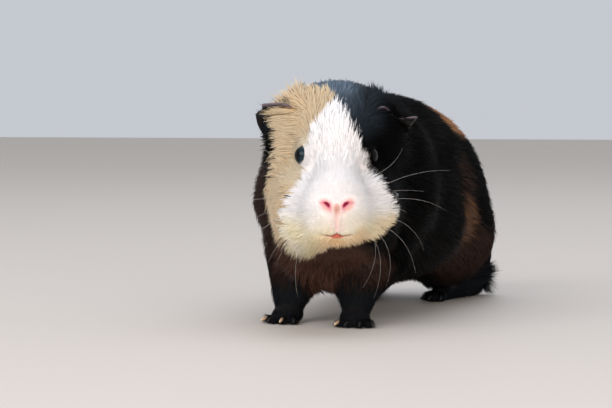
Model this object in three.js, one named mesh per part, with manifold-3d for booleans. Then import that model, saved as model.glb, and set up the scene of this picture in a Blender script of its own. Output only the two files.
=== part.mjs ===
import * as THREE from 'three';
import { mergeVertices } from 'three/addons/utils/BufferGeometryUtils.js';
import Module from 'manifold-3d';

// A smooth-coated guinea pig standing square on four feet, its head turned a little to its left.
// Millimetres, +Z up. It faces -Y, and its left side is +X. The shapes run to the tips of the coat.
// The sizes below are measured from a point on the floor between the front toes; the whole animal
// is moved at the end, so that the origin lies under the middle of its length and width.

const KERF = 0.35;               // the thin cut between two neighbouring parts
const MIDDLE = [0, 69];        // the middle of the animal over the floor, in x and y

const HEAD = { x: 11.5, y: -13, turn: THREE.MathUtils.degToRad(18) };
const CROWN_HEIGHT = 113;
const NOSE_AHEAD = 42;           // the nose tip ahead of the middle of the head
const NOSE_HEIGHT = 58.6;
const MOUTH_HEIGHT = 46;
const JAW_HALF = 10.5;
const NOSE_HALF = [7.2, 4.2];       // half the width and height of the bare nose pad
const EYE = { aside: 13.7, ahead: 17.5, height: 79.2, radius: 4.7 };

const BACK_HEIGHT = 109;
const BELLY_HEIGHT = 12;
const WITHERS_HALF = 39.5;
const BELLY_HALF = 45.5;
const HAUNCH_HALF = 43.5;

const WRIST_HEIGHT = 10.5;
const ANKLE_HEIGHT = 9;
const EAR_THICK = 1.4;

const CELL = { body: 11.5, head: 6, leg: 7.4, foot: 2.9 };

const wasm = await Module();
wasm.setup();

// Shapes are functions that give the distance from a point to their surface, below zero inside.

function ball(centre, radii, turn = 0) {
  const [cx, cy, cz] = centre;
  const [a, b, c] = radii;
  const cos = Math.cos(turn);
  const sin = Math.sin(turn);
  return (x, y, z) => {
    const u = ((x - cx) * cos + (y - cy) * sin) / a;
    const v = ((y - cy) * cos - (x - cx) * sin) / b;
    const w = (z - cz) / c;
    const near = Math.hypot(u, v, w);
    return near * (near - 1) / Math.max(Math.hypot(u / a, v / b, w / c), 1e-6);
  };
}

function limb(from, to, startRadius, endRadius) {
  const [ax, ay, az] = from;
  const [dx, dy, dz] = [to[0] - ax, to[1] - ay, to[2] - az];
  const long = dx * dx + dy * dy + dz * dz;
  return (x, y, z) => {
    const along = ((x - ax) * dx + (y - ay) * dy + (z - az) * dz) / long;
    const t = Math.min(Math.max(along, 0), 1);
    const far = Math.hypot(x - ax - t * dx, y - ay - t * dy, z - az - t * dz);
    return far - startRadius - t * (endRadius - startRadius);
  };
}

function soft(a, b, reach) {
  const near = Math.max(reach - Math.abs(a - b), 0) / reach;
  return Math.min(a, b) - near * near * reach / 4;
}

function joined(reach, ...shapes) {
  return (x, y, z) => shapes.map((shape) => shape(x, y, z)).reduce((a, b) => soft(a, b, reach));
}

function hollowed(reach, shape, ...hollows) {
  return (x, y, z) => hollows.reduce((a, hollow) => -soft(-a, hollow(x, y, z), reach), shape(x, y, z));
}

function grown(shape, by) {
  return (x, y, z) => shape(x, y, z) - by;
}

// A place on the head, given to its left, ahead of its middle, and above the floor.
function onHead(aside, ahead, height) {
  const cos = Math.cos(HEAD.turn);
  const sin = Math.sin(HEAD.turn);
  return [HEAD.x + aside * cos + ahead * sin, HEAD.y + aside * sin - ahead * cos, height];
}

function headBall(aside, ahead, height, radii) {
  return ball(onHead(aside, ahead, height), radii, HEAD.turn);
}

// The head: a domed crown, a straight nose bridge, a blunt muzzle, full cheeks and a short chin.
function headShape() {
  const crown = headBall(0, -11, CROWN_HEIGHT - 28, [27, 28, 26]);
  const poll = headBall(0, -14, CROWN_HEIGHT - 20, [29.5, 20, 19.3]);
  const brow = headBall(0, 5, 85, [15.5, 20, 18]);
  const bridge = limb(onHead(0, 11, 84), onHead(0, 30.5, 63), 12.5, 10.5);
  const muzzle = headBall(0, NOSE_AHEAD - 14, 57.5, [15, 14, 12]);
  const lips = headBall(0, 25, 49, [15, 14.5, 9]);
  const chin = headBall(0, 18, 44, [16, 16, 8.5]);
  const cheeks = [1, -1].map((side) => headBall(side * 13.5, 5, 54.5, [16, 23, 20.5]));
  const pads = [1, -1].map((side) => headBall(side * 12.5, 12.3, 62.5, [10, 13, 10.5]));
  const throat = headBall(0, -6, 52, [26, 24, 20]);
  const skull = joined(8, crown, poll, brow, bridge, muzzle, lips, chin, ...cheeks, ...pads, throat);
  const temples = [1, -1].map((side) => headBall(side * 25, 25, EYE.height + 2, [10.5, 13, 10]));
  return hollowed(6, skull, ...temples);
}

// The trunk: high round back, deep chest, a belly close to the floor and wide haunches.
function trunkShape() {
  const nape = limb(onHead(0, -23, 72), [2, 36, 67], 33, 39);
  const withers = ball([2, 40, BACK_HEIGHT - 43], [WITHERS_HALF, 46, 43]);
  const shoulders = [-22, 25].map((x) => ball([x, 31, 54.5], [20.3, 24, 18]));
  const back = ball([0, 96, BACK_HEIGHT - 42], [41, 91, 42]);
  const chest = ball([1.5, 24, 45], [29, 34, 45 - BELLY_HEIGHT]);
  const belly = ball([0, 88, 43], [BELLY_HALF, 74, 43 - BELLY_HEIGHT + 0.5]);
  const haunches = ball([0.5, 138, 46.5], [HAUNCH_HALF, 52, 32.5]);
  const rump = ball([0, 140, 61], [42, 52, 37]);
  return joined(12, withers, ...shoulders, back, chest, belly, haunches, rump, nape);
}

const FORELEGS = {
  left: { side: 1, aim: 4, toes: [18.4, -8.2], wrist: [16, 5.5], elbow: [24.5, 20, 31] },
  right: { side: -1, aim: -14, toes: [-20.4, -1.4], wrist: [-18, 12.5], elbow: [-22, 24, 31] },
};
const HINDLEGS = {
  left: { side: 1, toes: [18.5, 135], heel: [27, 180] },
  right: { side: -1, toes: [-20, 128], heel: [-27, 173] },
};
const FORE_TOES = [                        // the four front toes: their fan in degrees, and length
  { fan: -25, off: -3.9, long: 6.6 },
  { fan: -8, off: -1.4, long: 8.4 },
  { fan: 10, off: 1.4, long: 8.6 },
  { fan: 29, off: 3.9, long: 7 },
];
const HIND_TOES = [-20, 0, 20];            // the three hind toes
const FORE_TOE_LONG = 9;
const HIND_TOE_LONG = 12;
const FORE_CLAW = { radius: 1.15, long: 4, height: 2.2 };
const HIND_CLAW = { radius: 1.3, long: 5.6, height: 2.5 };

function toward(from, degrees, distance) {
  const angle = THREE.MathUtils.degToRad(degrees);
  return [from[0] + Math.sin(angle) * distance, from[1] - Math.cos(angle) * distance];
}

function foreToes(leg) {
  const root = toward(leg.toes, leg.aim, -FORE_TOE_LONG);
  return FORE_TOES.map(({ fan, off, long }) => {
    const from = toward(root, leg.aim + 90, off);
    return { fan: leg.aim + fan, root: from, tip: toward(from, leg.aim + fan, long) };
  });
}

function forelegShape(leg) {
  const [wx, wy] = leg.wrist;
  const upper = limb(leg.elbow, [wx + leg.side * 1.5, wy, 15], 12, 8.2);
  const lower = limb([wx, wy, 16], [wx, wy - 2, 6], 7.8, 6.2);
  const palm = ball([...toward(leg.wrist, leg.aim, 5), 3.6], [6.6, 7.4, 4.4]);
  const toes = foreToes(leg).map(({ root, tip }) => limb([...root, 2.8], [...tip, 1.8], 2.9, 2.4));
  const paw = joined(1.4, palm, ...toes);
  return joined(4, joined(5, upper, lower), paw);
}

function hindAim(leg) {
  const across = leg.toes[0] - leg.heel[0];
  return THREE.MathUtils.radToDeg(Math.atan2(across, leg.heel[1] - leg.toes[1]));
}

function hindToes(leg) {
  const aim = hindAim(leg);
  const root = toward(leg.toes, aim, -HIND_TOE_LONG);
  return HIND_TOES.map((fan, i) => {
    const long = HIND_TOE_LONG - (i === 1 ? 0 : 1.5);
    return { fan: fan + aim, root, tip: toward(root, fan + aim, long) };
  });
}

function hindlegShape(leg) {
  const pad = toward(leg.toes, hindAim(leg), -HIND_TOE_LONG - 1);
  const [hx, hy] = leg.heel;
  const thigh = limb([leg.side * 29, hy - 34, 34], [hx, hy - 12, 22], 19, 13);
  const shin = limb([hx + leg.side, hy - 10, 22], [hx, hy - 1, 9], 11, 7.5);
  const sole = limb([hx, hy, 5.2], [...pad, 4], 6.4, 5.2);
  const toes = hindToes(leg).map(({ root, tip }) => limb([...root, 3.1], [...tip, 2.1], 3.3, 2.8));
  const knee = ball([leg.side * 23.5, hy - 39, 23.5], [15, 21, 15.5]);
  const foot = joined(1.8, sole, ...toes);
  return joined(5, joined(8, thigh, shin, knee), foot);
}

const head = headShape();
const forelegs = joined(0.1, ...Object.values(FORELEGS).map(forelegShape));
const hindlegs = joined(0.1, ...Object.values(HINDLEGS).map(hindlegShape));
const body = joined(16, joined(13, joined(14, trunkShape(), head), forelegs), hindlegs);

// A closed mesh of a shape: one corner in each cell the surface crosses, moved onto the surface.
function surface(shape, low, high, cell) {
  const [nx, ny, nz] = low.map((edge, i) => Math.ceil((high[i] - edge) / cell) + 1);
  const step = [1, nx, nx * ny];
  const value = new Float64Array(nx * ny * nz);
  const place = (i, j, k) => [low[0] + i * cell, low[1] + j * cell, low[2] + k * cell];
  const onEdge = (i, j, k) => !i || !j || !k || i === nx - 1 || j === ny - 1 || k === nz - 1;
  const each = (use) => {
    for (let k = 0; k < nz; k++) {
      for (let j = 0; j < ny; j++) {
        for (let i = 0; i < nx; i++) use(i, j, k, i + nx * j + nx * ny * k);
      }
    }
  };
  each((i, j, k, n) => {
    value[n] = onEdge(i, j, k) ? cell / 2 : shape(...place(i, j, k));
  });
  const corners = [0, 1, 2, 3, 4, 5, 6, 7];
  const reachOf = (c) => (c & 1) * step[0] + ((c >> 1) & 1) * step[1] + ((c >> 2) & 1) * step[2];
  const points = [];
  const index = new Int32Array(value.length).fill(-1);
  each((i, j, k, n) => {
    if (i === nx - 1 || j === ny - 1 || k === nz - 1) return;
    const held = corners.map((c) => value[n + reachOf(c)]);
    const inside = held.filter((v) => v < 0).length;
    if (inside === 0 || inside === 8) return;
    const sum = [0, 0, 0];
    let crossings = 0;
    corners.forEach((c) => [1, 2, 4].filter((bit) => !(c & bit)).forEach((bit) => {
      const [a, b] = [held[c], held[c | bit]];
      if ((a < 0) === (b < 0)) return;
      const t = a / (a - b);
      [1, 2, 4].forEach((axis, m) => {
        sum[m] += axis === bit ? t : ((c & axis) ? 1 : 0);
      });
      crossings += 1;
    }));
    const p = place(i, j, k).map((v, m) => v + sum[m] / crossings * cell);
    const rim = i < 1 || j < 1 || k < 1 || i > nx - 3 || j > ny - 3 || k > nz - 3;
    index[n] = points.length;
    points.push(rim ? p : settled(shape, p, cell));
  });
  const triangles = [];
  const quad = (a, b, c, d, flip) => {
    const far = (m, n) => Math.hypot(...points[m].map((v, i) => v - points[n][i]));
    const faces = far(a, c) < far(b, d) ? [[a, b, c], [a, c, d]] : [[a, b, d], [b, c, d]];
    faces.forEach((face) => triangles.push(...(flip ? face.reverse() : face)));
  };
  each((i, j, k, n) => {
    const ijk = [i, j, k];
    [0, 1, 2].forEach((axis) => {
      const [p, q] = [(axis + 1) % 3, (axis + 2) % 3];
      if (ijk[p] === 0 || ijk[q] === 0 || ijk[axis] === [nx, ny, nz][axis] - 1) return;
      const [a, b] = [value[n], value[n + step[axis]]];
      if ((a < 0) === (b < 0)) return;
      const ring = [n, n - step[p], n - step[p] - step[q], n - step[q]].map((m) => index[m]);
      quad(...ring, b < 0);
    });
  });
  return manifoldOf(points.flat(), triangles);
}

// Moves a point along the slope of the shape until it lies on the surface.
function settled(shape, point, cell) {
  let [x, y, z] = point;
  const d = 0.05;
  for (let round = 0; round < 4; round++) {
    const value = shape(x, y, z);
    const gx = (shape(x + d, y, z) - shape(x - d, y, z)) / (2 * d);
    const gy = (shape(x, y + d, z) - shape(x, y - d, z)) / (2 * d);
    const gz = (shape(x, y, z + d) - shape(x, y, z - d)) / (2 * d);
    const scale = value / Math.max(gx * gx + gy * gy + gz * gz, 0.05);
    x -= scale * gx;
    y -= scale * gy;
    z -= scale * gz;
  }
  const moved = Math.hypot(x - point[0], y - point[1], z - point[2]);
  return moved < cell ? [x, y, z] : point;
}

function manifoldOf(points, triangles) {
  const vertProperties = new Float32Array(points);
  const triVerts = new Uint32Array(triangles);
  return new wasm.Manifold(new wasm.Mesh({ numProp: 3, vertProperties, triVerts }));
}

function solidOf(geometry) {
  const plain = geometry.clone();
  plain.deleteAttribute('normal');
  plain.deleteAttribute('uv');
  const merged = mergeVertices(plain, 1e-4);
  return manifoldOf(merged.attributes.position.array, merged.index.array);
}

// A block that fills everything on one side of a plane: +1 for the side it faces, -1 behind it.
function side(plane, which) {
  const size = 500;
  const block = new THREE.BoxGeometry(size, size, size);
  const facing = new THREE.Vector3(...plane.facing).normalize();
  const turn = new THREE.Quaternion().setFromUnitVectors(new THREE.Vector3(0, 0, 1), facing);
  block.applyQuaternion(turn);
  const shift = facing.multiplyScalar(which * (size / 2 + KERF / 2));
  block.translate(plane.at[0] + shift.x, plane.at[1] + shift.y, plane.at[2] + shift.z);
  return solidOf(block);
}

const level = (height) => ({ at: [0, 0, height], facing: [0, 0, 1] });
const HEAD_CUT = { at: onHead(0, -12, 60), facing: [Math.sin(HEAD.turn), -Math.cos(HEAD.turn), 0.27] };
const NECK_CUT = { at: [3, 17, 60], facing: [0.12, -1, 0.45] };
const HIP_CUT = { at: [0, 107, 60], facing: [0, -1, 0.12] };

// A drum lying across the body that holds one leg, from near the middle line outward.
function legDrum(leg, middle, radii, inner, extra) {
  const drum = new THREE.CylinderGeometry(1, 1, 70, 26);
  drum.rotateZ(Math.PI / 2);
  drum.scale(1, radii[0] + extra, radii[1] + extra);
  drum.translate(leg.side * (inner - extra + 35), middle[0], middle[1]);
  return solidOf(drum);
}

const foreDrum = (leg, extra = 0) => legDrum(leg, [leg.wrist[1] + 4, 11], [25.5, 27], 5, extra);
const hindDrum = (leg, extra = 0) => legDrum(leg, [leg.heel[1] - 23, 17], [37, 36], 6.5, extra);

const FLOOR_BLOCK = (() => {
  const block = new THREE.BoxGeometry(400, 500, 300);
  block.translate(0, 60, 150);
  return solidOf(block);
})();

const core = surface(body, [-66, -70, -9], [66, 212, 130], CELL.body);
const drums = [
  ...Object.values(FORELEGS).map((leg) => foreDrum(leg, KERF)),
  ...Object.values(HINDLEGS).map((leg) => hindDrum(leg, KERF)),
];
const legless = drums.reduce((solid, drum) => solid.subtract(drum), core);

function neck() {
  return legless.intersect(side(HEAD_CUT, -1)).intersect(side(NECK_CUT, 1));
}

function trunk() {
  return legless.intersect(side(NECK_CUT, -1)).intersect(side(HIP_CUT, 1));
}

function hindquarters() {
  return legless.intersect(side(HIP_CUT, -1));
}

function eyeBall(which, extra) {
  const geometry = new THREE.IcosahedronGeometry(EYE.radius + extra, 2);
  geometry.translate(...onHead(which * EYE.aside, EYE.ahead, EYE.height));
  return solidOf(geometry);
}

const fineHead = surface(body, [-46, -72, 8], [66, 30, 128], CELL.head)
  .intersect(side(HEAD_CUT, 1))
  .subtract(foreDrum(FORELEGS.left, KERF))
  .subtract(foreDrum(FORELEGS.right, KERF))
  .subtract(eyeBall(1, KERF))
  .subtract(eyeBall(-1, KERF));

// The lower jaw: what lies inside a tongue-shaped outline, under a mouth line that rises backwards.
function jawBlock(extra) {
  const block = new THREE.CylinderGeometry(1, 1, 30, 24);
  block.rotateX(Math.PI / 2);
  block.scale(JAW_HALF + extra, 19 + extra, 1);
  block.translate(0, 0, -15 + extra);
  block.rotateX(THREE.MathUtils.degToRad(-5));
  block.rotateZ(HEAD.turn);
  block.translate(...onHead(0, 20, MOUTH_HEIGHT));
  return solidOf(block);
}

// The nose pad: the bare tip of the muzzle around the two nostrils.
function noseBlock(extra) {
  const block = new THREE.CylinderGeometry(1, 1, 12 + extra, 20);
  block.scale(NOSE_HALF[0] + extra, 1, NOSE_HALF[1] + extra);
  block.translate(0, -6 - extra / 2, 0);
  block.rotateZ(HEAD.turn);
  block.translate(...onHead(0, NOSE_AHEAD - 4.5, NOSE_HEIGHT));
  return solidOf(block);
}

function nostril(which) {
  const hollow = new THREE.IcosahedronGeometry(1, 1);
  hollow.scale(1.5, 2.6, 0.9);
  hollow.rotateY(which * THREE.MathUtils.degToRad(-35));
  hollow.rotateZ(HEAD.turn);
  hollow.translate(...onHead(which * 4, NOSE_AHEAD - 0.6, NOSE_HEIGHT - 0.4));
  return solidOf(hollow);
}

function headNode() {
  return fineHead.subtract(jawBlock(KERF)).subtract(noseBlock(KERF));
}

function jaw() {
  return fineHead.intersect(jawBlock(0));
}

function nose() {
  const pad = surface(body, [8, -62, 48], [40, -36, 70], 3.6).intersect(noseBlock(0));
  return pad.subtract(nostril(1)).subtract(nostril(-1));
}

function eye(which) {
  return eyeBall(which, 0);
}

// An ear is a thin petal, given by three curves from its root outward: upper, middle and lower.
// A notch parts the right ear's upper fold from its lobe.
const EARS = {
  left: [
    [[15, 5, 98], [22, 1, 101], [28, -6, 96.4], [37.6, -14, 96.6]],
    [[17, 0, 91], [25, -8, 93.5], [30, -13, 90.5], [34, -17, 90.3]],
    [[20, -3, 84], [25, -8, 85], [28, -12, 84.6], [30, -15, 84.6]],
  ],
  right: [
    [[-15, 5, 98.5], [-24, 1, 102.2], [-31, -6, 102.2], [-37.5, -13, 101.2]],
    [[-17, 0, 91], [-26, -9, 95], [-31, -14, 94], [-34.6, -18, 92]],
    [[-20, -4, 84], [-27, -10, 86], [-30, -15, 86], [-32.5, -18, 86]],
  ],
};

function ear(which) {
  const curves = EARS[which].map((points) => {
    return new THREE.CatmullRomCurve3(points.map((p) => new THREE.Vector3(...onHead(...p))));
  });
  const [across, along] = [7, 8];
  const notch = { left: 0, right: 0.2 }[which];
  const middle = (s, u) => {
    const t = s < 0.1 ? u * (1 - notch) : u;
    const [upper, mid, lower] = curves.map((curve) => curve.getPoint(t));
    const pull = mid.multiplyScalar(2).sub(upper.clone().add(lower).multiplyScalar(0.5));
    return new THREE.QuadraticBezierCurve3(upper, pull, lower).getPoint(s);
  };
  const sheet = (lift) => {
    const points = [];
    for (let i = 0; i <= across; i++) {
      for (let j = 0; j <= along; j++) {
        const [s, t] = [i / across, j / along];
        const p = middle(s, t);
        const ds = middle(Math.min(s + 0.01, 1), t).sub(middle(Math.max(s - 0.01, 0), t));
        const dt = middle(s, Math.min(t + 0.01, 1)).sub(middle(s, Math.max(t - 0.01, 0)));
        const rim = 1 - 0.35 * Math.max(Math.abs(2 * s - 1) ** 6, t ** 6);
        points.push(...p.addScaledVector(ds.cross(dt).normalize(), lift * rim).toArray());
      }
    }
    return points;
  };
  const points = [...sheet(EAR_THICK / 2), ...sheet(-EAR_THICK / 2)];
  const other = (across + 1) * (along + 1);
  const at = (i, j) => i * (along + 1) + j;
  const faces = [];
  const quad = (a, b, c, d) => faces.push(a, b, c, a, c, d);
  for (let i = 0; i < across; i++) {
    for (let j = 0; j < along; j++) {
      const ring = [at(i, j), at(i + 1, j), at(i + 1, j + 1), at(i, j + 1)];
      quad(...ring);
      quad(...ring.map((n) => n + other).reverse());
    }
  }
  const border = [];
  for (let i = 0; i < across; i++) border.push(at(i, 0));
  for (let j = 0; j < along; j++) border.push(at(across, j));
  for (let i = across; i > 0; i--) border.push(at(i, along));
  for (let j = along; j > 0; j--) border.push(at(0, j));
  border.forEach((a, n) => {
    const b = border[(n + 1) % border.length];
    quad(b, a, a + other, b + other);
  });
  return largest(manifoldOf(points, faces).subtract(earBed));
}

const earBed = surface(grown(body, 2 * KERF), [-46, -46, 70], [66, 30, 128], CELL.head);

function largest(solid) {
  return solid.decompose().reduce((a, b) => (a.volume() > b.volume() ? a : b));
}

function legSolid(shapeBox, cell) {
  return surface(body, ...shapeBox, cell).intersect(FLOOR_BLOCK);
}

function foreleg(leg) {
  const x = leg.side * 30;
  const box = [[x - 38, leg.wrist[1] - 34, -6], [x + 38, leg.wrist[1] + 42, 50]];
  return legSolid(box, CELL.leg).intersect(foreDrum(leg)).intersect(side(level(WRIST_HEIGHT), 1));
}

function hindleg(leg) {
  const x = leg.side * 32;
  const box = [[x - 38, leg.heel[1] - 72, -6], [x + 38, leg.heel[1] + 26, 64]];
  return legSolid(box, CELL.leg).intersect(hindDrum(leg)).intersect(side(level(ANKLE_HEIGHT), 1));
}

function forefoot(leg) {
  const [x, y] = leg.wrist;
  const box = [[x - 17, y - 27, -5], [x + 17, y + 17, 17]];
  return surface(body, ...box, CELL.foot).intersect(FLOOR_BLOCK)
    .intersect(foreDrum(leg)).intersect(side(level(WRIST_HEIGHT), -1));
}

function hindfoot(leg) {
  const [x, y] = leg.heel;
  const box = [[x - 21, y - 60, -5], [x + 21, y + 16, 19]];
  return surface(body, ...box, CELL.foot * 1.4).intersect(FLOOR_BLOCK)
    .intersect(hindDrum(leg)).intersect(side(level(ANKLE_HEIGHT), -1));
}

// A claw is a short curved horn that springs from the end of a toe and stops above the floor.
function claw(toe, { radius, long, height }, extra = 0) {
  const horn = new THREE.ConeGeometry(radius + extra, long + 2 * extra, 6, 2);
  horn.translate(0, long / 2, 0);
  const spot = horn.attributes.position;
  for (let n = 0; n < spot.count; n++) {
    const t = spot.getY(n) / long;
    spot.setZ(n, spot.getZ(n) + (0.35 - t * t) * long * 0.28);
  }
  horn.rotateZ(Math.PI + THREE.MathUtils.degToRad(toe.fan));
  horn.translate(...toward(toe.tip, toe.fan, 0.8), height);
  return solidOf(horn);
}

const FUR_WHITE = 0xf4f1ee;
const FUR_BLACK = 0x17120f;
const FUR_BROWN = 0x2e2019;
const FUR_TAN = 0xc2a070;
const SKIN_PINK = 0xd98a93;
const SKIN_DARK = 0x3a3234;
const HORN = 0xc9a98a;
const EYE_BLACK = 0x0a0808;

const animal = new THREE.Group();

function add(name, solid, color, roughness) {
  const { numProp, vertProperties, triVerts } = solid.getMesh();
  const geometry = new THREE.BufferGeometry();
  const held = new THREE.InterleavedBuffer(vertProperties, numProp);
  geometry.setAttribute('position', new THREE.InterleavedBufferAttribute(held, 3, 0));
  geometry.setIndex(new THREE.BufferAttribute(triVerts, 1));
  const material = new THREE.MeshStandardMaterial({ color, roughness, metalness: 0 });
  const mesh = new THREE.Mesh(geometry, material);
  mesh.name = name;
  animal.add(mesh);
}

// A foot and its claws: each claw sits in a close socket at the end of its toe.
function addFoot(end, which, foot, toes, size) {
  const sockets = toes.map((toe) => claw(toe, size, KERF));
  add(`${end}foot_${which}`, sockets.reduce((a, b) => a.subtract(b), foot), FUR_BLACK, 0.8);
  toes.forEach((toe, n) => add(`claw_${end}_${which}_${n + 1}`, claw(toe, size), HORN, 0.4));
}

add('head', headNode(), FUR_WHITE, 0.9);
add('jaw', jaw(), FUR_TAN, 0.9);
add('nose', nose(), SKIN_PINK, 0.5);
add('neck', neck(), FUR_BROWN, 0.9);
add('trunk', trunk(), FUR_BLACK, 0.9);
add('hindquarters', hindquarters(), FUR_BLACK, 0.9);
for (const [which, sign] of [['left', 1], ['right', -1]]) {
  add(`eye_${which}`, eye(sign), EYE_BLACK, 0.1);
  add(`ear_${which}`, ear(which), SKIN_DARK, 0.7);
  add(`foreleg_${which}`, foreleg(FORELEGS[which]), FUR_BROWN, 0.9);
  add(`hindleg_${which}`, hindleg(HINDLEGS[which]), FUR_BROWN, 0.9);
  addFoot('fore', which, forefoot(FORELEGS[which]), foreToes(FORELEGS[which]), FORE_CLAW);
  addFoot('hind', which, hindfoot(HINDLEGS[which]), hindToes(HINDLEGS[which]), HIND_CLAW);
}

animal.position.set(-MIDDLE[0], -MIDDLE[1], 0);
const model = new THREE.Group();
model.add(animal);

export default model;
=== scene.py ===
import math

import bpy
import numpy as np
import openvdb
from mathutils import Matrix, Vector


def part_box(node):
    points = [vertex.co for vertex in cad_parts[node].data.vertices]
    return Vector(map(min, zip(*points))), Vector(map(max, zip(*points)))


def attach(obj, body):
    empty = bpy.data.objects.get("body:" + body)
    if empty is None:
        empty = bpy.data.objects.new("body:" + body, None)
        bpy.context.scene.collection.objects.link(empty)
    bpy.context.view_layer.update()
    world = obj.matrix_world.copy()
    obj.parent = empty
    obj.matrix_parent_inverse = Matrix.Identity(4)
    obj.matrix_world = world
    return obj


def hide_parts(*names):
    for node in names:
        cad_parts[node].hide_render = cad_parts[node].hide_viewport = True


# A smooth-coated guinea pig, white, tan and black, standing on its four feet with its head turned
# a little to its left. Shapes are worked out in millimetres and set down in metres.

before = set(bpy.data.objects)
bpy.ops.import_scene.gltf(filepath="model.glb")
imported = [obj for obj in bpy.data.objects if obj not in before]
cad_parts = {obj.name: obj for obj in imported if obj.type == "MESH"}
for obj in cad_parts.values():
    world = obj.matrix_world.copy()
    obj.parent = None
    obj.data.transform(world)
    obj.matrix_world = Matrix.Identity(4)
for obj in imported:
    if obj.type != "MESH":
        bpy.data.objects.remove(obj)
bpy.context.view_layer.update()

MM = 1000.0
UP = np.array([0.0, 0.0, 1.0])
DOWN = -UP
SIDES = (1, -1)                  # the animal's left and its right
SIDE_NAMES = {1: "left", -1: "right"}


# ---- places taken from the solids ----

def node_middle(node):
    """The middle of a node of the solids, in millimetres."""
    low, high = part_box(node)
    return (np.array(low) + np.array(high)) / 2 * MM


EYE_MIDDLES = {side: node_middle(f"eye_{SIDE_NAMES[side]}") for side in SIDES}
EYE_RADIUS = 4.7
EYE_AHEAD = 17.5                 # the eyes ahead of the middle of the head
EYE_TO_EYE = EYE_MIDDLES[1] - EYE_MIDDLES[-1]
ACROSS = EYE_TO_EYE / np.linalg.norm(EYE_TO_EYE)
HEAD_TURN = math.atan2(ACROSS[1], ACROSS[0])
AHEAD = np.array([math.sin(HEAD_TURN), -math.cos(HEAD_TURN), 0.0])
HEAD_MIDDLE = (EYE_MIDDLES[1] + EYE_MIDDLES[-1]) / 2 * [1, 1, 0] - EYE_AHEAD * AHEAD
HEAD_FROM_START = [11.5, -13.0, 0.0]
START = HEAD_MIDDLE - HEAD_FROM_START         # a point on the floor between the front toes


def at(x, y, z):
    """A place given from the point between the front toes."""
    return START + [x, y, z]


def on_head(aside, ahead, height):
    """A place on the head: to its left, ahead of its middle, above the floor."""
    return HEAD_MIDDLE + aside * ACROSS + ahead * AHEAD + height * UP


def head_places(points):
    """Each point's distance to the head's left, ahead of its middle, and above the floor."""
    away = points - HEAD_MIDDLE
    return away @ ACROSS, away @ AHEAD, points[:, 2]


# ---- shapes: functions that give the distance from points to a surface, below zero inside ----

def ball(centre, radii, turn=0.0):
    """An ellipsoid turned about the vertical."""
    cos, sin = math.cos(turn), math.sin(turn)
    radii = np.array(radii, float)

    def shape(points):
        away = points - centre
        own = np.stack([away[:, 0] * cos + away[:, 1] * sin,
                        away[:, 1] * cos - away[:, 0] * sin, away[:, 2]], 1) / radii
        near = np.linalg.norm(own, axis=1)
        return near * (near - 1) / np.maximum(np.linalg.norm(own / radii, axis=1), 1e-6)
    return shape


def limb(start, end, start_radius, end_radius):
    """A round bar, thicker at one end than at the other."""
    run = np.array(end, float) - start

    def shape(points):
        away = points - start
        t = np.clip(away @ run / (run @ run), 0, 1)
        far = np.linalg.norm(away - t[:, None] * run, axis=1)
        return far - start_radius - t * (end_radius - start_radius)
    return shape


def soft(a, b, reach):
    """The smaller of two distances, with a soft join as wide as the reach."""
    return np.minimum(a, b) - np.maximum(reach - np.abs(a - b), 0) ** 2 / (4 * reach)


def joined(reach, *shapes):
    """Several shapes as one, softly joined."""
    def shape(points):
        value = shapes[0](points)
        for other in shapes[1:]:
            value = soft(value, other(points), reach)
        return value
    return shape


def head_ball(aside, ahead, height, radii):
    """An ellipsoid that turns with the head."""
    return ball(on_head(aside, ahead, height), radii, HEAD_TURN)


def head_shape():
    """A domed crown, a straight nose bridge, a blunt muzzle, full cheeks and a short chin."""
    crown = head_ball(0, -11, 85, [27, 28, 26])
    poll = head_ball(0, -14, 93, [29.5, 20, 19.3])
    brow = head_ball(0, 5, 85, [15.5, 20, 18])
    bridge = limb(on_head(0, 11, 84), on_head(0, 30.5, 63), 12.5, 10.5)
    muzzle = head_ball(0, 28, 57.5, [15, 14, 12])
    lips = head_ball(0, 25, 49, [15, 14.5, 9])
    chin = head_ball(0, 18, 44, [16, 16, 8.5])
    cheeks = [head_ball(side * 13.5, 5, 54.5, [16, 23, 20.5]) for side in SIDES]
    pads = [head_ball(side * 12.5, 12.3, 62.5, [10, 13, 10.5]) for side in SIDES]
    throat = head_ball(0, -6, 52, [26, 24, 20])
    temples = [head_ball(side * 25, 25, 81.2, [10.5, 13, 10]) for side in SIDES]
    skull = joined(8, crown, poll, brow, bridge, muzzle, lips, chin, *cheeks, *pads, throat)

    def shape(points):
        value = skull(points)
        for temple in temples:
            value = -soft(-value, temple(points), 6)
        return value
    return shape


def trunk_shape():
    """A high round back, a deep chest, a belly close to the floor and wide haunches."""
    withers = ball(at(2, 40, 66), [39.5, 46, 43])
    shoulders = [ball(at(x, 31, 54.5), [20.3, 24, 18]) for x in (-22, 25)]
    back = ball(at(0, 96, 67), [41, 91, 42])
    chest = ball(at(1.5, 24, 45), [29, 34, 33])
    belly = ball(at(0, 88, 43), [45.5, 74, 31.5])
    haunches = ball(at(0.5, 138, 46.5), [43.5, 52, 32.5])
    rump = ball(at(0, 140, 61), [42.0, 52, 37])
    neck = limb(on_head(0, -23, 72), at(2, 36, 67), 33, 39)
    return joined(12, withers, *shoulders, back, chest, belly, haunches, rump, neck)


FORELEGS = {
    "left": {"side": 1, "aim": 4, "toes": (18.4, -8.2), "wrist": (16, 5.5), "elbow": (24.5, 20, 31)},
    "right": {"side": -1, "aim": -14, "toes": (-20.4, -1.4), "wrist": (-18, 12.5),
              "elbow": (-22, 24, 31)},
}
HINDLEGS = {
    "left": {"side": 1, "toes": (18.5, 135), "heel": (27, 180)},
    "right": {"side": -1, "toes": (-20, 128), "heel": (-27, 173)},
}
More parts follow.
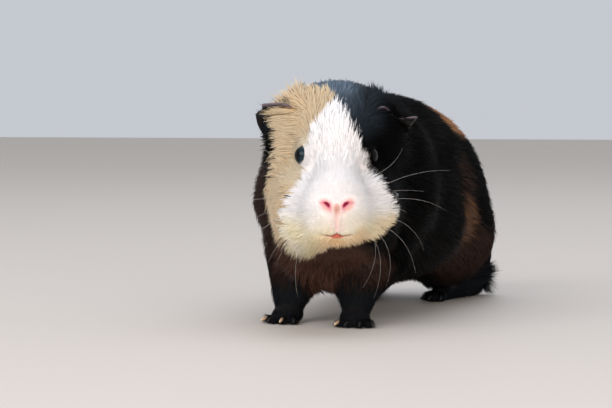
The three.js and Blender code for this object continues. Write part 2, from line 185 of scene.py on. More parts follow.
# Each toe's fan in degrees, how far aside it starts, and its length.
FORE_TOES = [(-25, -3.9, 6.6), (-8, -1.4, 8.4), (10, 1.4, 8.6), (29, 3.9, 7)]
FORE_TOE_LONG = 9
HIND_TOES = [(-20, 10.5), (0, 12), (20, 10.5)]   # fan and length
HIND_TOE_LONG = 12


def toward(place, degrees, distance):
    """The place at a distance from another one, at an angle from straight ahead."""
    angle = math.radians(degrees)
    return place[0] + math.sin(angle) * distance, place[1] - math.cos(angle) * distance


def fore_toes(leg):
    """For each toe of a forefoot: its direction in degrees, its root and its tip."""
    root = toward(leg["toes"], leg["aim"], -FORE_TOE_LONG)
    for fan, off, long in FORE_TOES:
        start = toward(root, leg["aim"] + 90, off)
        yield leg["aim"] + fan, root, toward(start, leg["aim"] + fan, long)


def foreleg_shape(leg):
    (wx, wy), side = leg["wrist"], leg["side"]
    upper = limb(at(*leg["elbow"]), at(wx + side * 1.5, wy, 15), 12, 8.2)
    lower = limb(at(wx, wy, 16), at(wx, wy - 2, 6), 7.8, 6.2)
    palm = ball(at(*toward(leg["wrist"], leg["aim"], 5), 3.6), [6.6, 7.4, 4.4])
    toes = [limb(at(*root, 2.8), at(*tip, 1.8), 2.9, 2.4) for _, root, tip in fore_toes(leg)]
    return joined(4, joined(5, upper, lower), joined(1.4, palm, *toes))


def hind_aim(leg):
    """Where a hind foot points, in degrees from straight ahead."""
    (toe_x, toe_y), (heel_x, heel_y) = leg["toes"], leg["heel"]
    return math.degrees(math.atan2(toe_x - heel_x, heel_y - toe_y))


def hind_toes(leg):
    """For each toe of a hind foot: its direction in degrees, its root and its tip."""
    root = toward(leg["toes"], hind_aim(leg), -HIND_TOE_LONG)
    for fan, long in HIND_TOES:
        yield fan + hind_aim(leg), root, toward(root, fan + hind_aim(leg), long)


def hindleg_shape(leg):
    (hx, hy), side = leg["heel"], leg["side"]
    pad = toward(leg["toes"], hind_aim(leg), -HIND_TOE_LONG - 1)
    thigh = limb(at(side * 29, hy - 34, 34), at(hx, hy - 12, 22), 19, 13)
    shin = limb(at(hx + side, hy - 10, 22), at(hx, hy - 1, 9), 11, 7.5)
    knee = ball(at(side * 23.5, hy - 39, 23.5), [15, 21, 15.5])
    sole = limb(at(hx, hy, 5.2), at(*pad, 4), 6.4, 5.2)
    toes = [limb(at(*root, 3.1), at(*tip, 2.1), 3.3, 2.8) for _, root, tip in hind_toes(leg)]
    return joined(5, joined(8, thigh, shin, knee), joined(1.8, sole, *toes))


head = head_shape()
trunk = trunk_shape()
BARELY = 0.1                     # the reach of a join between shapes that lie apart
forelegs = joined(BARELY, *[foreleg_shape(leg) for leg in FORELEGS.values()])
hindlegs = joined(BARELY, *[hindleg_shape(leg) for leg in HINDLEGS.values()])
legs = joined(BARELY, forelegs, hindlegs)


def merged(head_value, trunk_value, points):
    """Head, trunk and legs as one: the forelegs stand out, the hind legs sink into the haunches."""
    value = soft(soft(trunk_value, head_value, 14), forelegs(points), 13)
    return soft(value, hindlegs(points), 16)


def rise(value, low, high):
    """From 0 at low to 1 at high, smoothly."""
    t = np.clip((value - low) / (high - low), 0, 1)
    return t * t * (3 - 2 * t)


def blend(base, other, share):
    """The base where the share is 0, the other where it is 1."""
    return base + (other - base) * share


def hump(value, reach):
    """1 where the value is 0, fading smoothly on both sides of it over the reach."""
    return np.exp(-(value / reach) ** 2)


def shares(points, head_value, trunk_value, leg_value):
    """How much of each point belongs to the head, and how much to a leg."""
    of_head = rise(trunk_value - head_value, -7, 9)
    of_leg = rise(np.minimum(trunk_value, head_value) - leg_value, -4, 5) * rise(points[:, 2], 46, 26)
    return of_head * (1 - of_leg), of_leg


BODY_DEPTH, LEG_DEPTH, FOOT_DEPTH = 3.2, 1.7, 0.6     # of the coat, from its tips to the skin


def coat_depth(points, of_head, of_leg):
    """How far the skin lies under the tips of the coat."""
    _, ahead, height = head_places(points)
    on_face = 2.4 - 0.9 * rise(ahead, 6, 24) - 0.95 * rise(ahead, 26, 37)
    depth = blend(blend(BODY_DEPTH, on_face, of_head), LEG_DEPTH, of_leg)
    return depth + (FOOT_DEPTH - depth) * of_leg * rise(height, 17, 6)


def outline(points):
    """The surface through the tips of the coat."""
    return merged(head(points), trunk(points), points)


def skin_shape(points):
    """The surface of the skin, under the coat."""
    head_value, trunk_value, leg_value = head(points), trunk(points), legs(points)
    value = merged(head_value, trunk_value, points)
    return value + coat_depth(points, *shares(points, head_value, trunk_value, leg_value))


# ---- mesh work on arrays of points and triangles ----

def steps(*stretches):
    """Grid lines along one direction: (from, to, spacing) for each stretch."""
    return np.concatenate([np.arange(*stretch) for stretch in stretches])


GRID = (steps((-54, 54, 1.3)),
        steps((-134, -56, 1.3), (-56, 130, 1.9)),
        steps((-2.4, 14, 0.8), (14, 118, 1.6)))


def on_grid(shape):
    """A shape's values at the crossings of the grid lines, in slabs to save memory."""
    slabs = []
    for x in GRID[0]:
        y, z = np.meshgrid(GRID[1], GRID[2], indexing="ij")
        points = np.stack([np.full(y.size, x), y.ravel(), z.ravel()], 1)
        slabs.append(shape(points).reshape(y.shape))
    return np.stack(slabs)


def surface(values):
    """Points and triangles of the zero surface of values on the grid."""
    volume = openvdb.FloatGrid()
    volume.copyFromArray(values.astype(np.float32))
    places, quads = volume.convertToQuads(isovalue=0)
    lines = [np.interp(places[:, i], np.arange(len(GRID[i])), GRID[i]) for i in range(3)]
    triangles = np.concatenate([quads[:, [0, 1, 2]], quads[:, [0, 2, 3]]])
    return np.stack(lines, 1), triangles.astype(np.int64)


def looked_up(values, points):
    """Values on the grid, read at any point."""
    spots = [np.interp(points[:, i], GRID[i], np.arange(len(GRID[i]))) for i in range(3)]
    spots = [np.clip(spot, 0, len(GRID[i]) - 1.001) for i, spot in enumerate(spots)]
    low = [spot.astype(int) for spot in spots]
    part = [spot - floor for spot, floor in zip(spots, low)]
    total = 0
    for corner in np.ndindex(2, 2, 2):
        share = 1
        for i in range(3):
            share = share * (part[i] if corner[i] else 1 - part[i])
        found = values[low[0] + corner[0], low[1] + corner[1], low[2] + corner[2]]
        total = total + (found * share if values.ndim == 3 else found * share[:, None])
    return total


def edges_of(triangles):
    """Each edge once, and for every side of every triangle the number of its edge."""
    sides = np.sort(triangles[:, [[0, 1], [1, 2], [2, 0]]].reshape(-1, 2), axis=1)
    size = triangles.max() + 1
    keys, which = np.unique(sides[:, 0] * size + sides[:, 1], return_inverse=True)
    return np.stack([keys // size, keys % size], 1), which.reshape(-1, 3)


SPLIT_ROUNDS = 4                 # how often an edge may be halved


def refined(points, triangles, longest):
    """Splits the edges that are longer than what is allowed at their middle."""
    for _ in range(SPLIT_ROUNDS):
        edges, which = edges_of(triangles)
        middles = points[edges].mean(1)
        long = np.linalg.norm(points[edges[:, 0]] - points[edges[:, 1]], axis=1) > longest(middles)
        if not long.any():
            break
        new = np.full(len(edges), -1)
        new[long] = len(points) + np.arange(long.sum())
        points = np.concatenate([points, middles[long]])
        cuts = new[which]
        count = (cuts >= 0).sum(1)
        after_whole = (np.argmin(cuts >= 0, axis=1) + 1) % 3
        turn = np.where(count == 1, np.argmax(cuts >= 0, axis=1), after_whole)
        order = (np.arange(3) + turn[:, None]) % 3
        a, b, c = np.take_along_axis(triangles, order, 1).T
        ab, bc, ca = np.take_along_axis(cuts, order, 1).T
        made = {
            0: [(a, b, c)],
            1: [(a, ab, c), (ab, b, c)],
            2: [(ab, b, bc), (a, ab, bc), (a, bc, c)],
            3: [(a, ab, ca), (ab, b, bc), (ca, bc, c), (ab, bc, ca)],
        }
        kept = [np.stack(corners, 1)[count == n] for n, faces in made.items() for corners in faces]
        triangles = np.concatenate(kept)
    return points, triangles


def summed(which, vectors, count):
    """The sum of the vectors that fall to each of count points."""
    return np.stack([np.bincount(which, vectors[:, i], count) for i in range(3)], 1)


def smoothed(points, triangles, weight, rounds):
    """Moves points toward the mean of their neighbours, each by its weight."""
    edges, _ = edges_of(triangles)
    ends = np.concatenate([edges, edges[:, ::-1]])
    number = np.maximum(np.bincount(ends[:, 0], minlength=len(points)), 1)
    for _ in range(rounds):
        total = summed(ends[:, 0], points[ends[:, 1]], len(points))
        points = points + (total / number[:, None] - points) * weight[:, None]
    return points


SLOPE_STEP = 0.02                # how far apart a shape is read to find its slope
LEAST_SLOPE = 0.05               # keeps points from jumping where a shape is nearly level


def settled(points, shape, rounds):
    """Moves points along the slope of a shape onto its surface."""
    for _ in range(rounds):
        here = shape(points)
        slope = np.stack([(shape(points + SLOPE_STEP * axis) - here) / SLOPE_STEP for axis in np.eye(3)], 1)
        scale = here / np.maximum((slope ** 2).sum(1), LEAST_SLOPE)
        points = points - slope * scale[:, None]
    return points


def unit(vectors):
    return vectors / np.maximum(np.linalg.norm(vectors, axis=1, keepdims=True), 1e-9)


def normals_of(points, triangles):
    a, b, c = points[triangles[:, 0]], points[triangles[:, 1]], points[triangles[:, 2]]
    faces = np.cross(b - a, c - a)
    return unit(summed(triangles.ravel(), np.repeat(faces, 3, axis=0), len(points)))


RIPPLE_WAVES = 7


def ripple(points, size, seed):
    """A smooth random value between about -1 and 1 that changes over a size in millimetres."""
    chance = np.random.default_rng(seed)
    total = 0
    for _ in range(RIPPLE_WAVES):
        direction = chance.normal(size=3)
        direction *= chance.uniform(0.6, 1.5) * 2 * math.pi / (2.5 * size * np.linalg.norm(direction))
        total = total + np.sin(points @ direction + chance.uniform(0, 2 * math.pi))
    return total / 3.0


def mesh_object(name, points, triangles):
    """A mesh object made of points in millimetres."""
    mesh = bpy.data.meshes.new(name)
    mesh.vertices.add(len(points))
    mesh.vertices.foreach_set("co", (points / MM).astype(np.float32).ravel())
    mesh.loops.add(triangles.size)
    mesh.loops.foreach_set("vertex_index", triangles.astype(np.int32).ravel())
    mesh.polygons.add(len(triangles))
    mesh.polygons.foreach_set("loop_start", np.arange(0, triangles.size, 3, dtype=np.int32))
    mesh.update(calc_edges=True)
    mesh.shade_smooth()
    made = bpy.data.objects.new(name, mesh)
    bpy.context.scene.collection.objects.link(made)
    return made


def arrays_of(made):
    """A mesh object's points in millimetres and its triangles."""
    mesh = made.data
    mesh.calc_loop_triangles()
    points = np.empty(len(mesh.vertices) * 3)
    mesh.vertices.foreach_get("co", points)
    triangles = np.empty(len(mesh.loop_triangles) * 3, np.int32)
    mesh.loop_triangles.foreach_get("vertices", triangles)
    return points.reshape(-1, 3) * MM, triangles.reshape(-1, 3).astype(np.int64)


def mark(made, **values):
    """Stores one value for each point, for the materials to read."""
    for name, numbers in values.items():
        layer = made.data.attributes.new(name, "FLOAT", "POINT")
        layer.data.foreach_set("value", np.asarray(numbers, np.float32))


# ---- the ears: thin petals given by three curves from the root outward ----

EARS = {
    1: [[(15, 5, 98), (22, 1, 101), (28, -6, 96.4), (37.6, -14, 96.6)],
        [(17, 0, 91), (25, -8, 93.5), (30, -13, 90.5), (34, -17, 90.3)],
        [(20, -3, 84), (25, -8, 85), (28, -12, 84.6), (30, -15, 84.6)]],
    -1: [[(-15, 5, 98.5), (-24, 1, 102.2), (-31, -6, 102.2), (-37.5, -13, 101.2)],
         [(-17, 0, 91), (-26, -9, 95), (-31, -14, 94), (-34.6, -18, 92)],
         [(-20, -4, 84), (-27, -10, 86), (-30, -15, 86), (-32.5, -18, 86)]],
}
EAR_HALF_THICK = 0.7


def through(stops, t):
    """Places at t, from 0 to 1, on a smooth curve through the stops."""
    stops = np.array([on_head(*stop) for stop in stops])
    ends = np.vstack([2 * stops[0] - stops[1], stops, 2 * stops[-1] - stops[-2]])
    along = np.clip(t * (len(stops) - 1), 0, len(stops) - 1.0001)
    n = along.astype(int)
    u = (along - n)[:, None]
    p0, p1, p2, p3 = ends[n], ends[n + 1], ends[n + 2], ends[n + 3]
    return 0.5 * (2 * p1 + (p2 - p0) * u + (2 * p0 - 5 * p1 + 4 * p2 - p3) * u ** 2
                  + (3 * p1 - p0 - 3 * p2 + p3) * u ** 3)


def ear_sheet(side, s, t):
    """Places on an ear: s runs from its upper to its lower edge, t from its root outward."""
    upper, middle, lower = [through(curve, t) for curve in EARS[side]]
    pull = 2 * middle - (upper + lower) / 2
    s = s[:, None]
    return (1 - s) ** 2 * upper + 2 * s * (1 - s) * pull + s ** 2 * lower


NOTCH = {1: 0.0, -1: 0.2}            # how deep a notch parts off the fold of each ear
RIM_HIGHLIGHT_CORNER = {1: 1.0, -1: 0.45}     # how bright the painted highlight on the rim is at the ear's upper corner
RIM_HIGHLIGHT_EDGE = {1: 0.15, -1: 0.35}      # and down its outer edge
RIM_PLACES = 60
EAR_ACROSS, EAR_ALONG = 36, 30       # squares of an ear's sheet


def ear_reach(side, s):
    """How far out the ear's edge lies, from its upper to its lower corner."""
    return 1 - NOTCH[side] * rise(s, 0.16, 0.1)


def ear_rim(side):
    """Places along the ear's free edge, and how strong the painted highlight on the edge is there."""
    n = np.linspace(0, 1, RIM_PLACES)
    zero = np.zeros(RIM_PLACES)
    upper = ear_sheet(side, zero, n * ear_reach(side, zero))
    outer = ear_sheet(side, n, ear_reach(side, n))
    fading = blend(RIM_HIGHLIGHT_CORNER[side], RIM_HIGHLIGHT_EDGE[side], rise(n, 0.12, 0.5))
    return np.concatenate([upper, outer]), np.concatenate([rise(n, 0.12, 0.35), fading])


def ear_mesh(side):
    """The ear as a closed shell: a front sheet, a back sheet and the rim between them."""
    across, along = EAR_ACROSS, EAR_ALONG
    s, t = [grid.ravel() for grid in np.meshgrid(np.linspace(0, 1, across + 1),
                                                 np.linspace(0, 1, along + 1), indexing="ij")]
    t_rim = t
    t = t * ear_reach(side, s)
    middle = ear_sheet(side, s, t)
    over_s = ear_sheet(side, np.minimum(s + 0.01, 1), t) - ear_sheet(side, np.maximum(s - 0.01, 0), t)
    over_t = ear_sheet(side, s, np.minimum(t + 0.01, 1)) - ear_sheet(side, s, np.maximum(t - 0.01, 0))
    facing = unit(np.cross(over_s, over_t))
    crumple = 0.5 * np.sin(7 * s + 2) * t + 0.35 * ripple(middle, 5, 31) * t
    middle = middle + crumple[:, None] * facing
    rim = np.maximum(np.abs(2 * s - 1) ** 8, t_rim ** 10)
    lift = EAR_HALF_THICK * (1 - 0.5 * rim)[:, None] * facing
    points = np.concatenate([middle + lift, middle - lift])
    other = len(middle)
    corner = np.arange(other).reshape(across + 1, along + 1)
    squares = (corner[:-1, :-1], corner[1:, :-1], corner[1:, 1:], corner[:-1, 1:])
    a, b, c, d = [part.ravel() for part in squares]
    faces = [(a, b, c), (a, c, d), (a + other, c + other, b + other), (a + other, d + other, c + other)]
    ring = np.concatenate([corner[:-1, 0], corner[-1, :-1], corner[:0:-1, -1], corner[0, :0:-1]])
    after = np.roll(ring, -1)
    faces += [(after, ring, ring + other), (after, ring + other, after + other)]
    triangles = np.concatenate([np.stack(face, 1) for face in faces])
    first, second, third = points[triangles.T]
    volume = np.einsum("ij,ij->i", np.cross(first, second), third).sum()
    return points, triangles if volume > 0 else triangles[:, ::-1]


# ---- the skin: one closed surface from the nose to the rump ----

def eye_axis(side):
    """The way an eye looks: mostly sideways, a little forward and up."""
    return unit((side * 0.90 * ACROSS + 0.40 * AHEAD + 0.10 * UP)[None])[0]


OPENING = {1: 2.9, -1: 4.25}     # how far each eye's lids stand open round its axis
LID_EDGE = 4.45                  # beyond this from the axis, the lids stop following the globe
LID_THICK = 0.25


def eye_places(points, side):
    """Each point's height along the eye's axis and its distance from that axis."""
    away = points - EYE_MIDDLES[side]
    height = away @ eye_axis(side)
    return height, np.linalg.norm(away - height[:, None] * eye_axis(side), axis=1)


def from_eye(points, side):
    """Each point's distance from the middle of an eye."""
    return np.linalg.norm(points - EYE_MIDDLES[side], axis=1)


def mouth_level(aside):
    """Height of the mouth, a little higher at its corners."""
    return 44.9 + 0.6 * rise(np.abs(aside), 2, 7.5)


def mouth_line(aside):
    """The upper edge of the mouth: it peaks under the parting of the lip."""
    return mouth_level(aside) + 0.9 * hump(aside, 1.2)


NOSTRIL = {"aside": 3.95, "height": 58.6, "lean": 0.72, "long": 1.95, "wide": 0.8, "curl": 0.55}
NOSE_MIDDLE = -0.2               # the nose stands a little to the right of the middle of the head


def nostril_places(aside, height, side):
    """1 in the middle of a nostril, a slit that leans outward as it rises, falling to 0 at its edge."""
    x = side * (aside - NOSE_MIDDLE) - NOSTRIL["aside"]
    y = height - NOSTRIL["height"]
    cos, sin = math.cos(NOSTRIL["lean"]), math.sin(NOSTRIL["lean"])
    along = (x * cos + y * sin) / NOSTRIL["long"]
    over = (y * cos - x * sin + NOSTRIL["curl"] * along ** 2) / NOSTRIL["wide"]
    return 1 - np.sqrt(along ** 2 + over ** 2)


def nostrils(aside, height, mark):
    """The sum over both nostrils of a mark made from each point's place in one."""
    return sum(mark(nostril_places(aside, height, side)) for side in SIDES)


def face_relief(points):
    """Moves the points of the face into nostrils, lips and lids."""
    aside, ahead, height = head_places(points)
    beside = np.abs(aside)
    front = rise(ahead, 26, 31)
    pits = nostrils(aside, height, lambda near: rise(near, 0.0, 0.75))
    wings = nostrils(aside, height, lambda near: hump(near + 0.35, 0.35))
    parting = hump(aside, 0.55) * rise(height, 46.2, 48) * rise(height, 57.5, 54.5)
    off_line = height - mouth_line(aside)
    slit = hump(off_line, 0.42) * rise(beside, 8.2, 6.8) * rise(beside, 7.8, 4.0)
    upper = hump(off_line - 1.7, 1.1) * rise(beside, 0.2, 2.2) * rise(beside, 8, 5)
    lower = hump(height - mouth_level(aside) + 1.0, 0.8) * rise(beside, 5.5, 2.5)
    push = 0.3 * wings + 0.3 * upper + 0.45 * lower - 1.7 * pits - 0.6 * parting - 1.7 * slit
    points = points + (front * push)[:, None] * AHEAD
    for side in SIDES:
        above, off = eye_places(points, side)
        near = (off < 13) & (above > -5)
        bowl = np.sqrt(np.maximum(EYE_RADIUS ** 2 - off ** 2, 0)) - 1.3
        lid = np.sqrt(np.maximum(EYE_RADIUS ** 2 - np.minimum(off, LID_EDGE) ** 2, 0)) + LID_THICK
        inside = rise(off, OPENING[side], OPENING[side] - 0.5)
        hill = rise(off, 12.5, 4.3) ** 1.6
        wanted = blend(above, np.maximum(lid, above), hill)
        wanted = blend(wanted, np.minimum(bowl, wanted), inside)
        points = points + np.where(near, wanted - above, 0)[:, None] * eye_axis(side)
    return points


def longest_edge(points):
    """The longest edge that the skin may have at each point."""
    aside, ahead, height = head_places(points)
    of_head = rise(ahead, -22, -12)
    long = blend(3.0, 1.5, of_head)
    long = long + (1.0 - long) * of_head * rise(ahead, 8, 18)
    long[height < 15] = 1.15
    nose = np.sqrt(aside ** 2 + ((height - 53) * 0.8) ** 2)
    long[(nose < 10.5) & (ahead > 28)] = 0.42
    for side in SIDES:
        _, off = eye_places(points, side)
        beside = from_eye(points, side) < 10
        long[beside & (off < 8)] = 0.62
        long[beside & (off < 5.3)] = 0.42
    return long


def union(body, *others):
    """The body with other closed meshes joined to it as one surface."""
    whole = mesh_object("whole", *body)
    for n, other in enumerate(others):
        piece = mesh_object(f"other_{n}", *other)
        cut = whole.modifiers.new("join", "BOOLEAN")
        cut.operation = "UNION"
        cut.solver = "MANIFOLD"
        cut.object = piece
        graph = bpy.context.evaluated_depsgraph_get()
        mesh = bpy.data.meshes.new_from_object(whole.evaluated_get(graph))
        whole.modifiers.clear()
        whole.data = mesh
        bpy.data.objects.remove(piece)
    points, triangles = arrays_of(whole)
    bpy.data.objects.remove(whole)
    return points, triangles


SOLE_HEIGHT = 0.15               # the soles stay this much above the floor


def skin_mesh(values):
    """The skin with its ears, and how much of each point is ear."""
    points, triangles = surface(values)
    points = settled(points, skin_shape, 1)
    points, triangles = union((points, triangles), ear_mesh(1), ear_mesh(-1))
    points, triangles = refined(points, triangles, longest_edge)
    fresh = skin_shape(points)
    loose = settled(points, skin_shape, 2)
    points = np.where((fresh > 0.5)[:, None], points, loose)
    aside, ahead, height = head_places(points)
    root = rise(np.abs(fresh - 0.6), 1.6, 0.2) * rise(height, 78, 82) * rise(np.abs(aside), 12, 15)
    points = smoothed(points, triangles, 0.55 * root * (ahead < 12), 6)
    points = face_relief(points)
    points[:, 2] = np.maximum(points[:, 2], SOLE_HEIGHT)
    return points, triangles, rise(fresh, 0.7, 2.2 + 3.3 * (aside < 0))


# ---- the markings, the same for the skin and for the coat ----

# Height on the face, and where the white blaze ends there on its right and on its left.
BLAZE = [(40, -24, 19), (45, -26, 23), (49, -26, 26.7), (54, -25.5, 27.8), (60, -23.6, 26.6),
         (67, -20, 22.4), (71, -17.9, 18), (74.6, -15.4, 15), (78, -14.4, 12.9), (83, -13.6, 12.5),
         (87, -13.2, 12.1), (91, -12.6, 10.9), (95, -11, 7.2), (100, -6.4, 4.4), (104.5, -1.4, 3.2),
         (107, 0.8, 1.4)]
# Across the face, the height at which its pale fur gives way to the dark chest.
CHEST = [(-30, 41), (-26, 38.5), (-20, 34), (-12, 32), (-6, 36), (-2, 38.5), (3, 39.8), (11, 40.5),
         (19, 41.6), (23, 45), (28, 51)]
# Height on the head, and how far to its right the tan reaches.
TAN_REACH = [(40, -29), (46, -30.6), (52, -32.8), (58, -33.9), (63, -33.5), (67, -32), (76, -30.4),
             (81, -28.6), (90, -28.6), (96, -33), (110, -34)]
# Across the crown, how far ahead of the middle of the head the tan ends.
CROWN_BACK = [(-24, -26), (-13, -22), (-9, -9), (-3, 0), (2, 5)]


def between(stops, value, column=1):
    """Reads a column of the stops at a value of their first column."""
    places = [stop[0] for stop in stops]
    return np.interp(value, places, [stop[column] for stop in stops])


RAGGED = 0.12                    # how far a patch's edge wanders, as a share of its size
MARK_EDGE = 0.5                  # half the width over which one marking gives way to the next


def patch(points, centre, radii, blur=0.3):
    """1 inside a ragged oval patch, fading to 0 round its edge."""
    far = np.linalg.norm((points - at(*centre)) / radii, axis=1)
    far = far + RAGGED * ripple(points, 7, 11) + RAGGED * ripple(points, 2.5, 12)
    return rise(far, 1 + blur, 1 - blur)


def past(value):
    """0 before an edge of a marking and 1 past it."""
    return rise(value, -MARK_EDGE, MARK_EDGE)


def strongest(*marks):
    """The greatest of several marks at each point."""
    whole = marks[0]
    for other in marks[1:]:
        whole = np.maximum(whole, other)
    return whole


def markings(points, loose=0.0):
    """The share of each colour at each point. The loose values blur the edges hair by hair."""
    aside, ahead, height = head_places(points)
    of_head, of_leg = shares(points, head(points), trunk(points), legs(points))
    wander = 0.8 * ripple(points, 6, 1) + 0.45 * ripple(points, 2.2, 2) + loose
    up_wander = 0.8 * ripple(points, 6, 3) + 0.45 * ripple(points, 2.2, 4) + loose
    across, level = aside + wander, height + up_wander

    # the white blaze, and the tan to its right
    right_of_blaze = past(between(BLAZE, level, 1) - across)
    left_of_blaze = past(across - between(BLAZE, level, 2))
    above_chest = past(level - between(CHEST, across))
    front = rise(ahead, -4, -2) * rise(level, 107.5, 106.5)
    white = (1 - right_of_blaze) * (1 - left_of_blaze) * above_chest * front
    tan_back = np.where(level > 92, between(CROWN_BACK, across), -16 - 12 * rise(level, 80, 74))
    tan = right_of_blaze * above_chest * past(across - between(TAN_REACH, level))
    tan = tan * rise(ahead + 0.7 * ripple(points, 4, 5) - tan_back, -0.8, 0.8)

    # the yellow and the warmer tint of the chin, and painted shade on the lower left cheek
    yellow = rise(level + 2 * ripple(points, 9, 6) - 4 * rise(aside, 6, 22), 55.5, 43.5)
    yellow = yellow * (0.85 + 0.15 * ripple(points, 6, 7))
    warm_tint_and_shade = rise(level + 1.5 * ripple(points, 7, 8), 48, 41) * rise(aside, -14, -3)
    # painted shade: the warm tint darkens the lower left cheek, which faces down and away from the light
    warm_tint_and_shade = np.maximum(warm_tint_and_shade, 0.6 * rise(level, 57, 48) * rise(aside, 15, 23))
    beside_eye = hump(from_eye(points, -1), 13)

    # amber on the back, down the left flank and on the right one; brown on chest, shoulder, haunches
    amber = strongest(patch(points, (26, 137, 96), (15, 17, 14)),
                      0.5 * patch(points, (46, 116, 42), (16, 11, 14), 0.4),
                      0.14 * patch(points, (45, 119, 64), (16, 11, 16), 0.6),
                      0.6 * patch(points, (-42, 84, 66), (22, 17, 15)))
    x, y, _ = (points - START).T
    chest = 0.95 * rise(height, 46, 41) * rise(y, 40, 26) * rise(np.abs(x + wander - 2), 33, 23)
    chest = chest * (1 - 0.95 * of_leg * rise(height, 33, 14))
    shoulder = 0.36 * rise(x, -22, -32) * rise(height, 88, 66) * rise(height, 22, 36) * rise(y, 60, 34)
    haunches = [0.32 * patch(points, (side * 40, 128, 24), (24, 26, 14), 0.5) for side in SIDES]
    brown = strongest(chest, shoulder, *haunches, amber)

    # the painted slate sheen: a painted reflection of the window light on the black crown and temple
    crown = rise(height, 103, 110) * (0.15 + 0.85 * rise(aside, 15, 4)) * rise(ahead, 12, 2)
    temple = 0.13 * rise(height, 84, 97) * rise(aside, 27, 17)
    temple = temple + 0.28 * rise(height, 94, 107) * rise(aside, 15, 5)
    crown = of_head * np.maximum(0.9 * crown, temple) * rise(ahead, -22, -10)
    return {
        "white": white,
        "tan": tan * (1 - white),
        "brown": brown * (1 - white) * (1 - tan),
        "amber": amber,
        "pale": np.where(tan > 0.5, beside_eye, yellow),
        "warm_tint_and_shade": warm_tint_and_shade * above_chest,
        # the sheen also lays a faint painted bluish reflection on the lower legs and feet
        "painted_sheen": np.maximum(crown, 0.05 * of_leg * rise(height, 28, 10)),
        "of_head": of_head,
        "of_leg": of_leg,
    }


def bare_places(points, ear):
    """Where little or no hair grows: round the nostrils, the parting of the lip, the lips and the ears."""
    aside, ahead, height = head_places(points)
    front = rise(ahead, 27, 31)
    beside = np.abs(aside)
    wing = np.hypot((beside - 4.4) / 3.7, (height - 58.2 - 0.3 * (beside - 4.4)) / 3.4)
    septum = np.hypot(aside / 1.7, (height - 56.6) / 2.5)
    off_line = height - mouth_line(aside)
    below = height - mouth_level(aside) + 1.35 - 0.85 * rise(beside, 0.8, 4)
    return {
        "pad": rise(np.minimum(wing, septum), 1.3, 0.5) * front,
        "septum": 0.9 * rise(septum, 1.5, 0.2) * front,
        "flush": nostrils(aside, height, lambda near: rise(near, -1.1, 0.1)) * front,
        "pit": nostrils(aside, height, lambda near: rise(near, -0.1, 0.5)) * front,
        "under": rise(beside, 4.8, 1.0) * rise(height, 56.5, 54.5) * rise(height, 45.5, 47) * front,
        "lip": rise(beside, 5.4, 3.6) * rise(off_line, 0.6, 0.2) * rise(below, -0.4, 0.4) * front,
        "crease": 0.85 * hump(off_line, 0.7) * rise(beside, 2.6, 4.2) * rise(beside, 8.0, 5.8) * front,
        "ear": ear,
    }


def ear_rim_highlight(points, ear):
    """How strongly the painted highlight of an ear's free edge lies on each point: near the edge, most
    strongly along the upper fold.
    """
    near = np.zeros(len(points))
    for side in SIDES:
        places, weights = ear_rim(side)
        for n in np.flatnonzero((ear > 0.05) & (np.sign(head_places(points)[0]) == side)):
            far = np.linalg.norm(places - points[n], axis=1)
            closest = far.argmin()
            near[n] = rise(far[closest], 1.1, 0.4) * weights[closest]
    return near


# ---- the lie of the coat ----

def coat_zones(points, of_head, of_leg):
    """Places where the coat grows in another way: round the ears and crown, under the chin, at the heels."""
    aside, ahead, height = head_places(points)
    right, beside = -aside, np.abs(aside)
    x, y, _ = (points - START).T
    fluff = rise(aside, 14, 20) * rise(aside, 31, 26) * rise(height, 90, 98) * rise(ahead, 2, -6)
    tuft = rise(right, 13, 18) * rise(right, 26.5, 22.5) * rise(height, 94, 101) * rise(ahead, 6, -2)
    return {
        "ear": rise(beside, 11, 17) * rise(height, 76, 84) * rise(height, 106, 100) * rise(ahead, -12, -4),
        "crown": of_head * rise(height, 96, 104) * rise(ahead, 10, 0) * rise(aside, -10, 0),
        "fluff": of_head * fluff,
        "tuft": of_head * tuft,
        "behind_ear": of_head * rise(right, 18, 23) * rise(height, 82, 89) * rise(ahead, -8, -13),
        "fringe": of_head * rise(height, 50, 44) * rise(ahead, 2, 10) * rise(ahead + 0.5 * beside, 32, 24),
        "rump": rise(y, 138, 152) * rise(height, 22, 15) * rise(height, 5, 10) * rise(np.abs(x), 8, 20),
        "foot": of_leg * rise(height, 18, 4),
    }


BODY_WAY = np.array([0.0, 1.0, -0.42])
LEG_WAY = np.array([0.0, 0.12, -1.0])
FOOT_WAY = np.array([0.0, -1.0, -0.5])
SKIRT_ASIDE = np.array([0.8, 0.0, 0.0])
SKIRT_BACK = np.array([0.0, 0.6, -0.25])


def lie(points, of_head, of_leg):
    """The way the hair points: away from the nose on the head, back and down on the body, down the legs."""
    aside, _, _ = head_places(points)
    zones = coat_zones(points, of_head, of_leg)
    outward = np.sign(aside)[:, None] * 1.2 * ACROSS - 0.25 * UP
    by_ear = zones["ear"][:, None]
    from_nose = unit(points - on_head(0, 36, 56)) * (1 - 0.6 * by_ear) + by_ear * outward
    way = blend(BODY_WAY, from_nose, of_head[:, None])
    way = blend(way, LEG_WAY, of_leg[:, None])
    way = blend(way, FOOT_WAY, zones["foot"][:, None])
    skirt = np.sign(points[:, 0])[:, None] * SKIRT_ASIDE + SKIRT_BACK
    way = blend(way, skirt, zones["rump"][:, None])
    for side in SIDES:
        far = from_eye(points, side)
        inward = (EYE_MIDDLES[side] - points) / np.maximum(far, 1)[:, None]
        near = hump(np.maximum(far - 5, 0), 5)
        toward_eye = np.maximum((way * inward).sum(1), 0) * near
        way = way - (1.25 * toward_eye)[:, None] * inward + (0.7 * toward_eye)[:, None] * UP
    return way


BODY_HAIR, RUMP_HAIR, LEG_HAIR, FOOT_HAIR = 14.0, 13.5, 9.0, 3.3      # lengths
EAR_HAIR, LID_HAIR = 1.8, 1.6


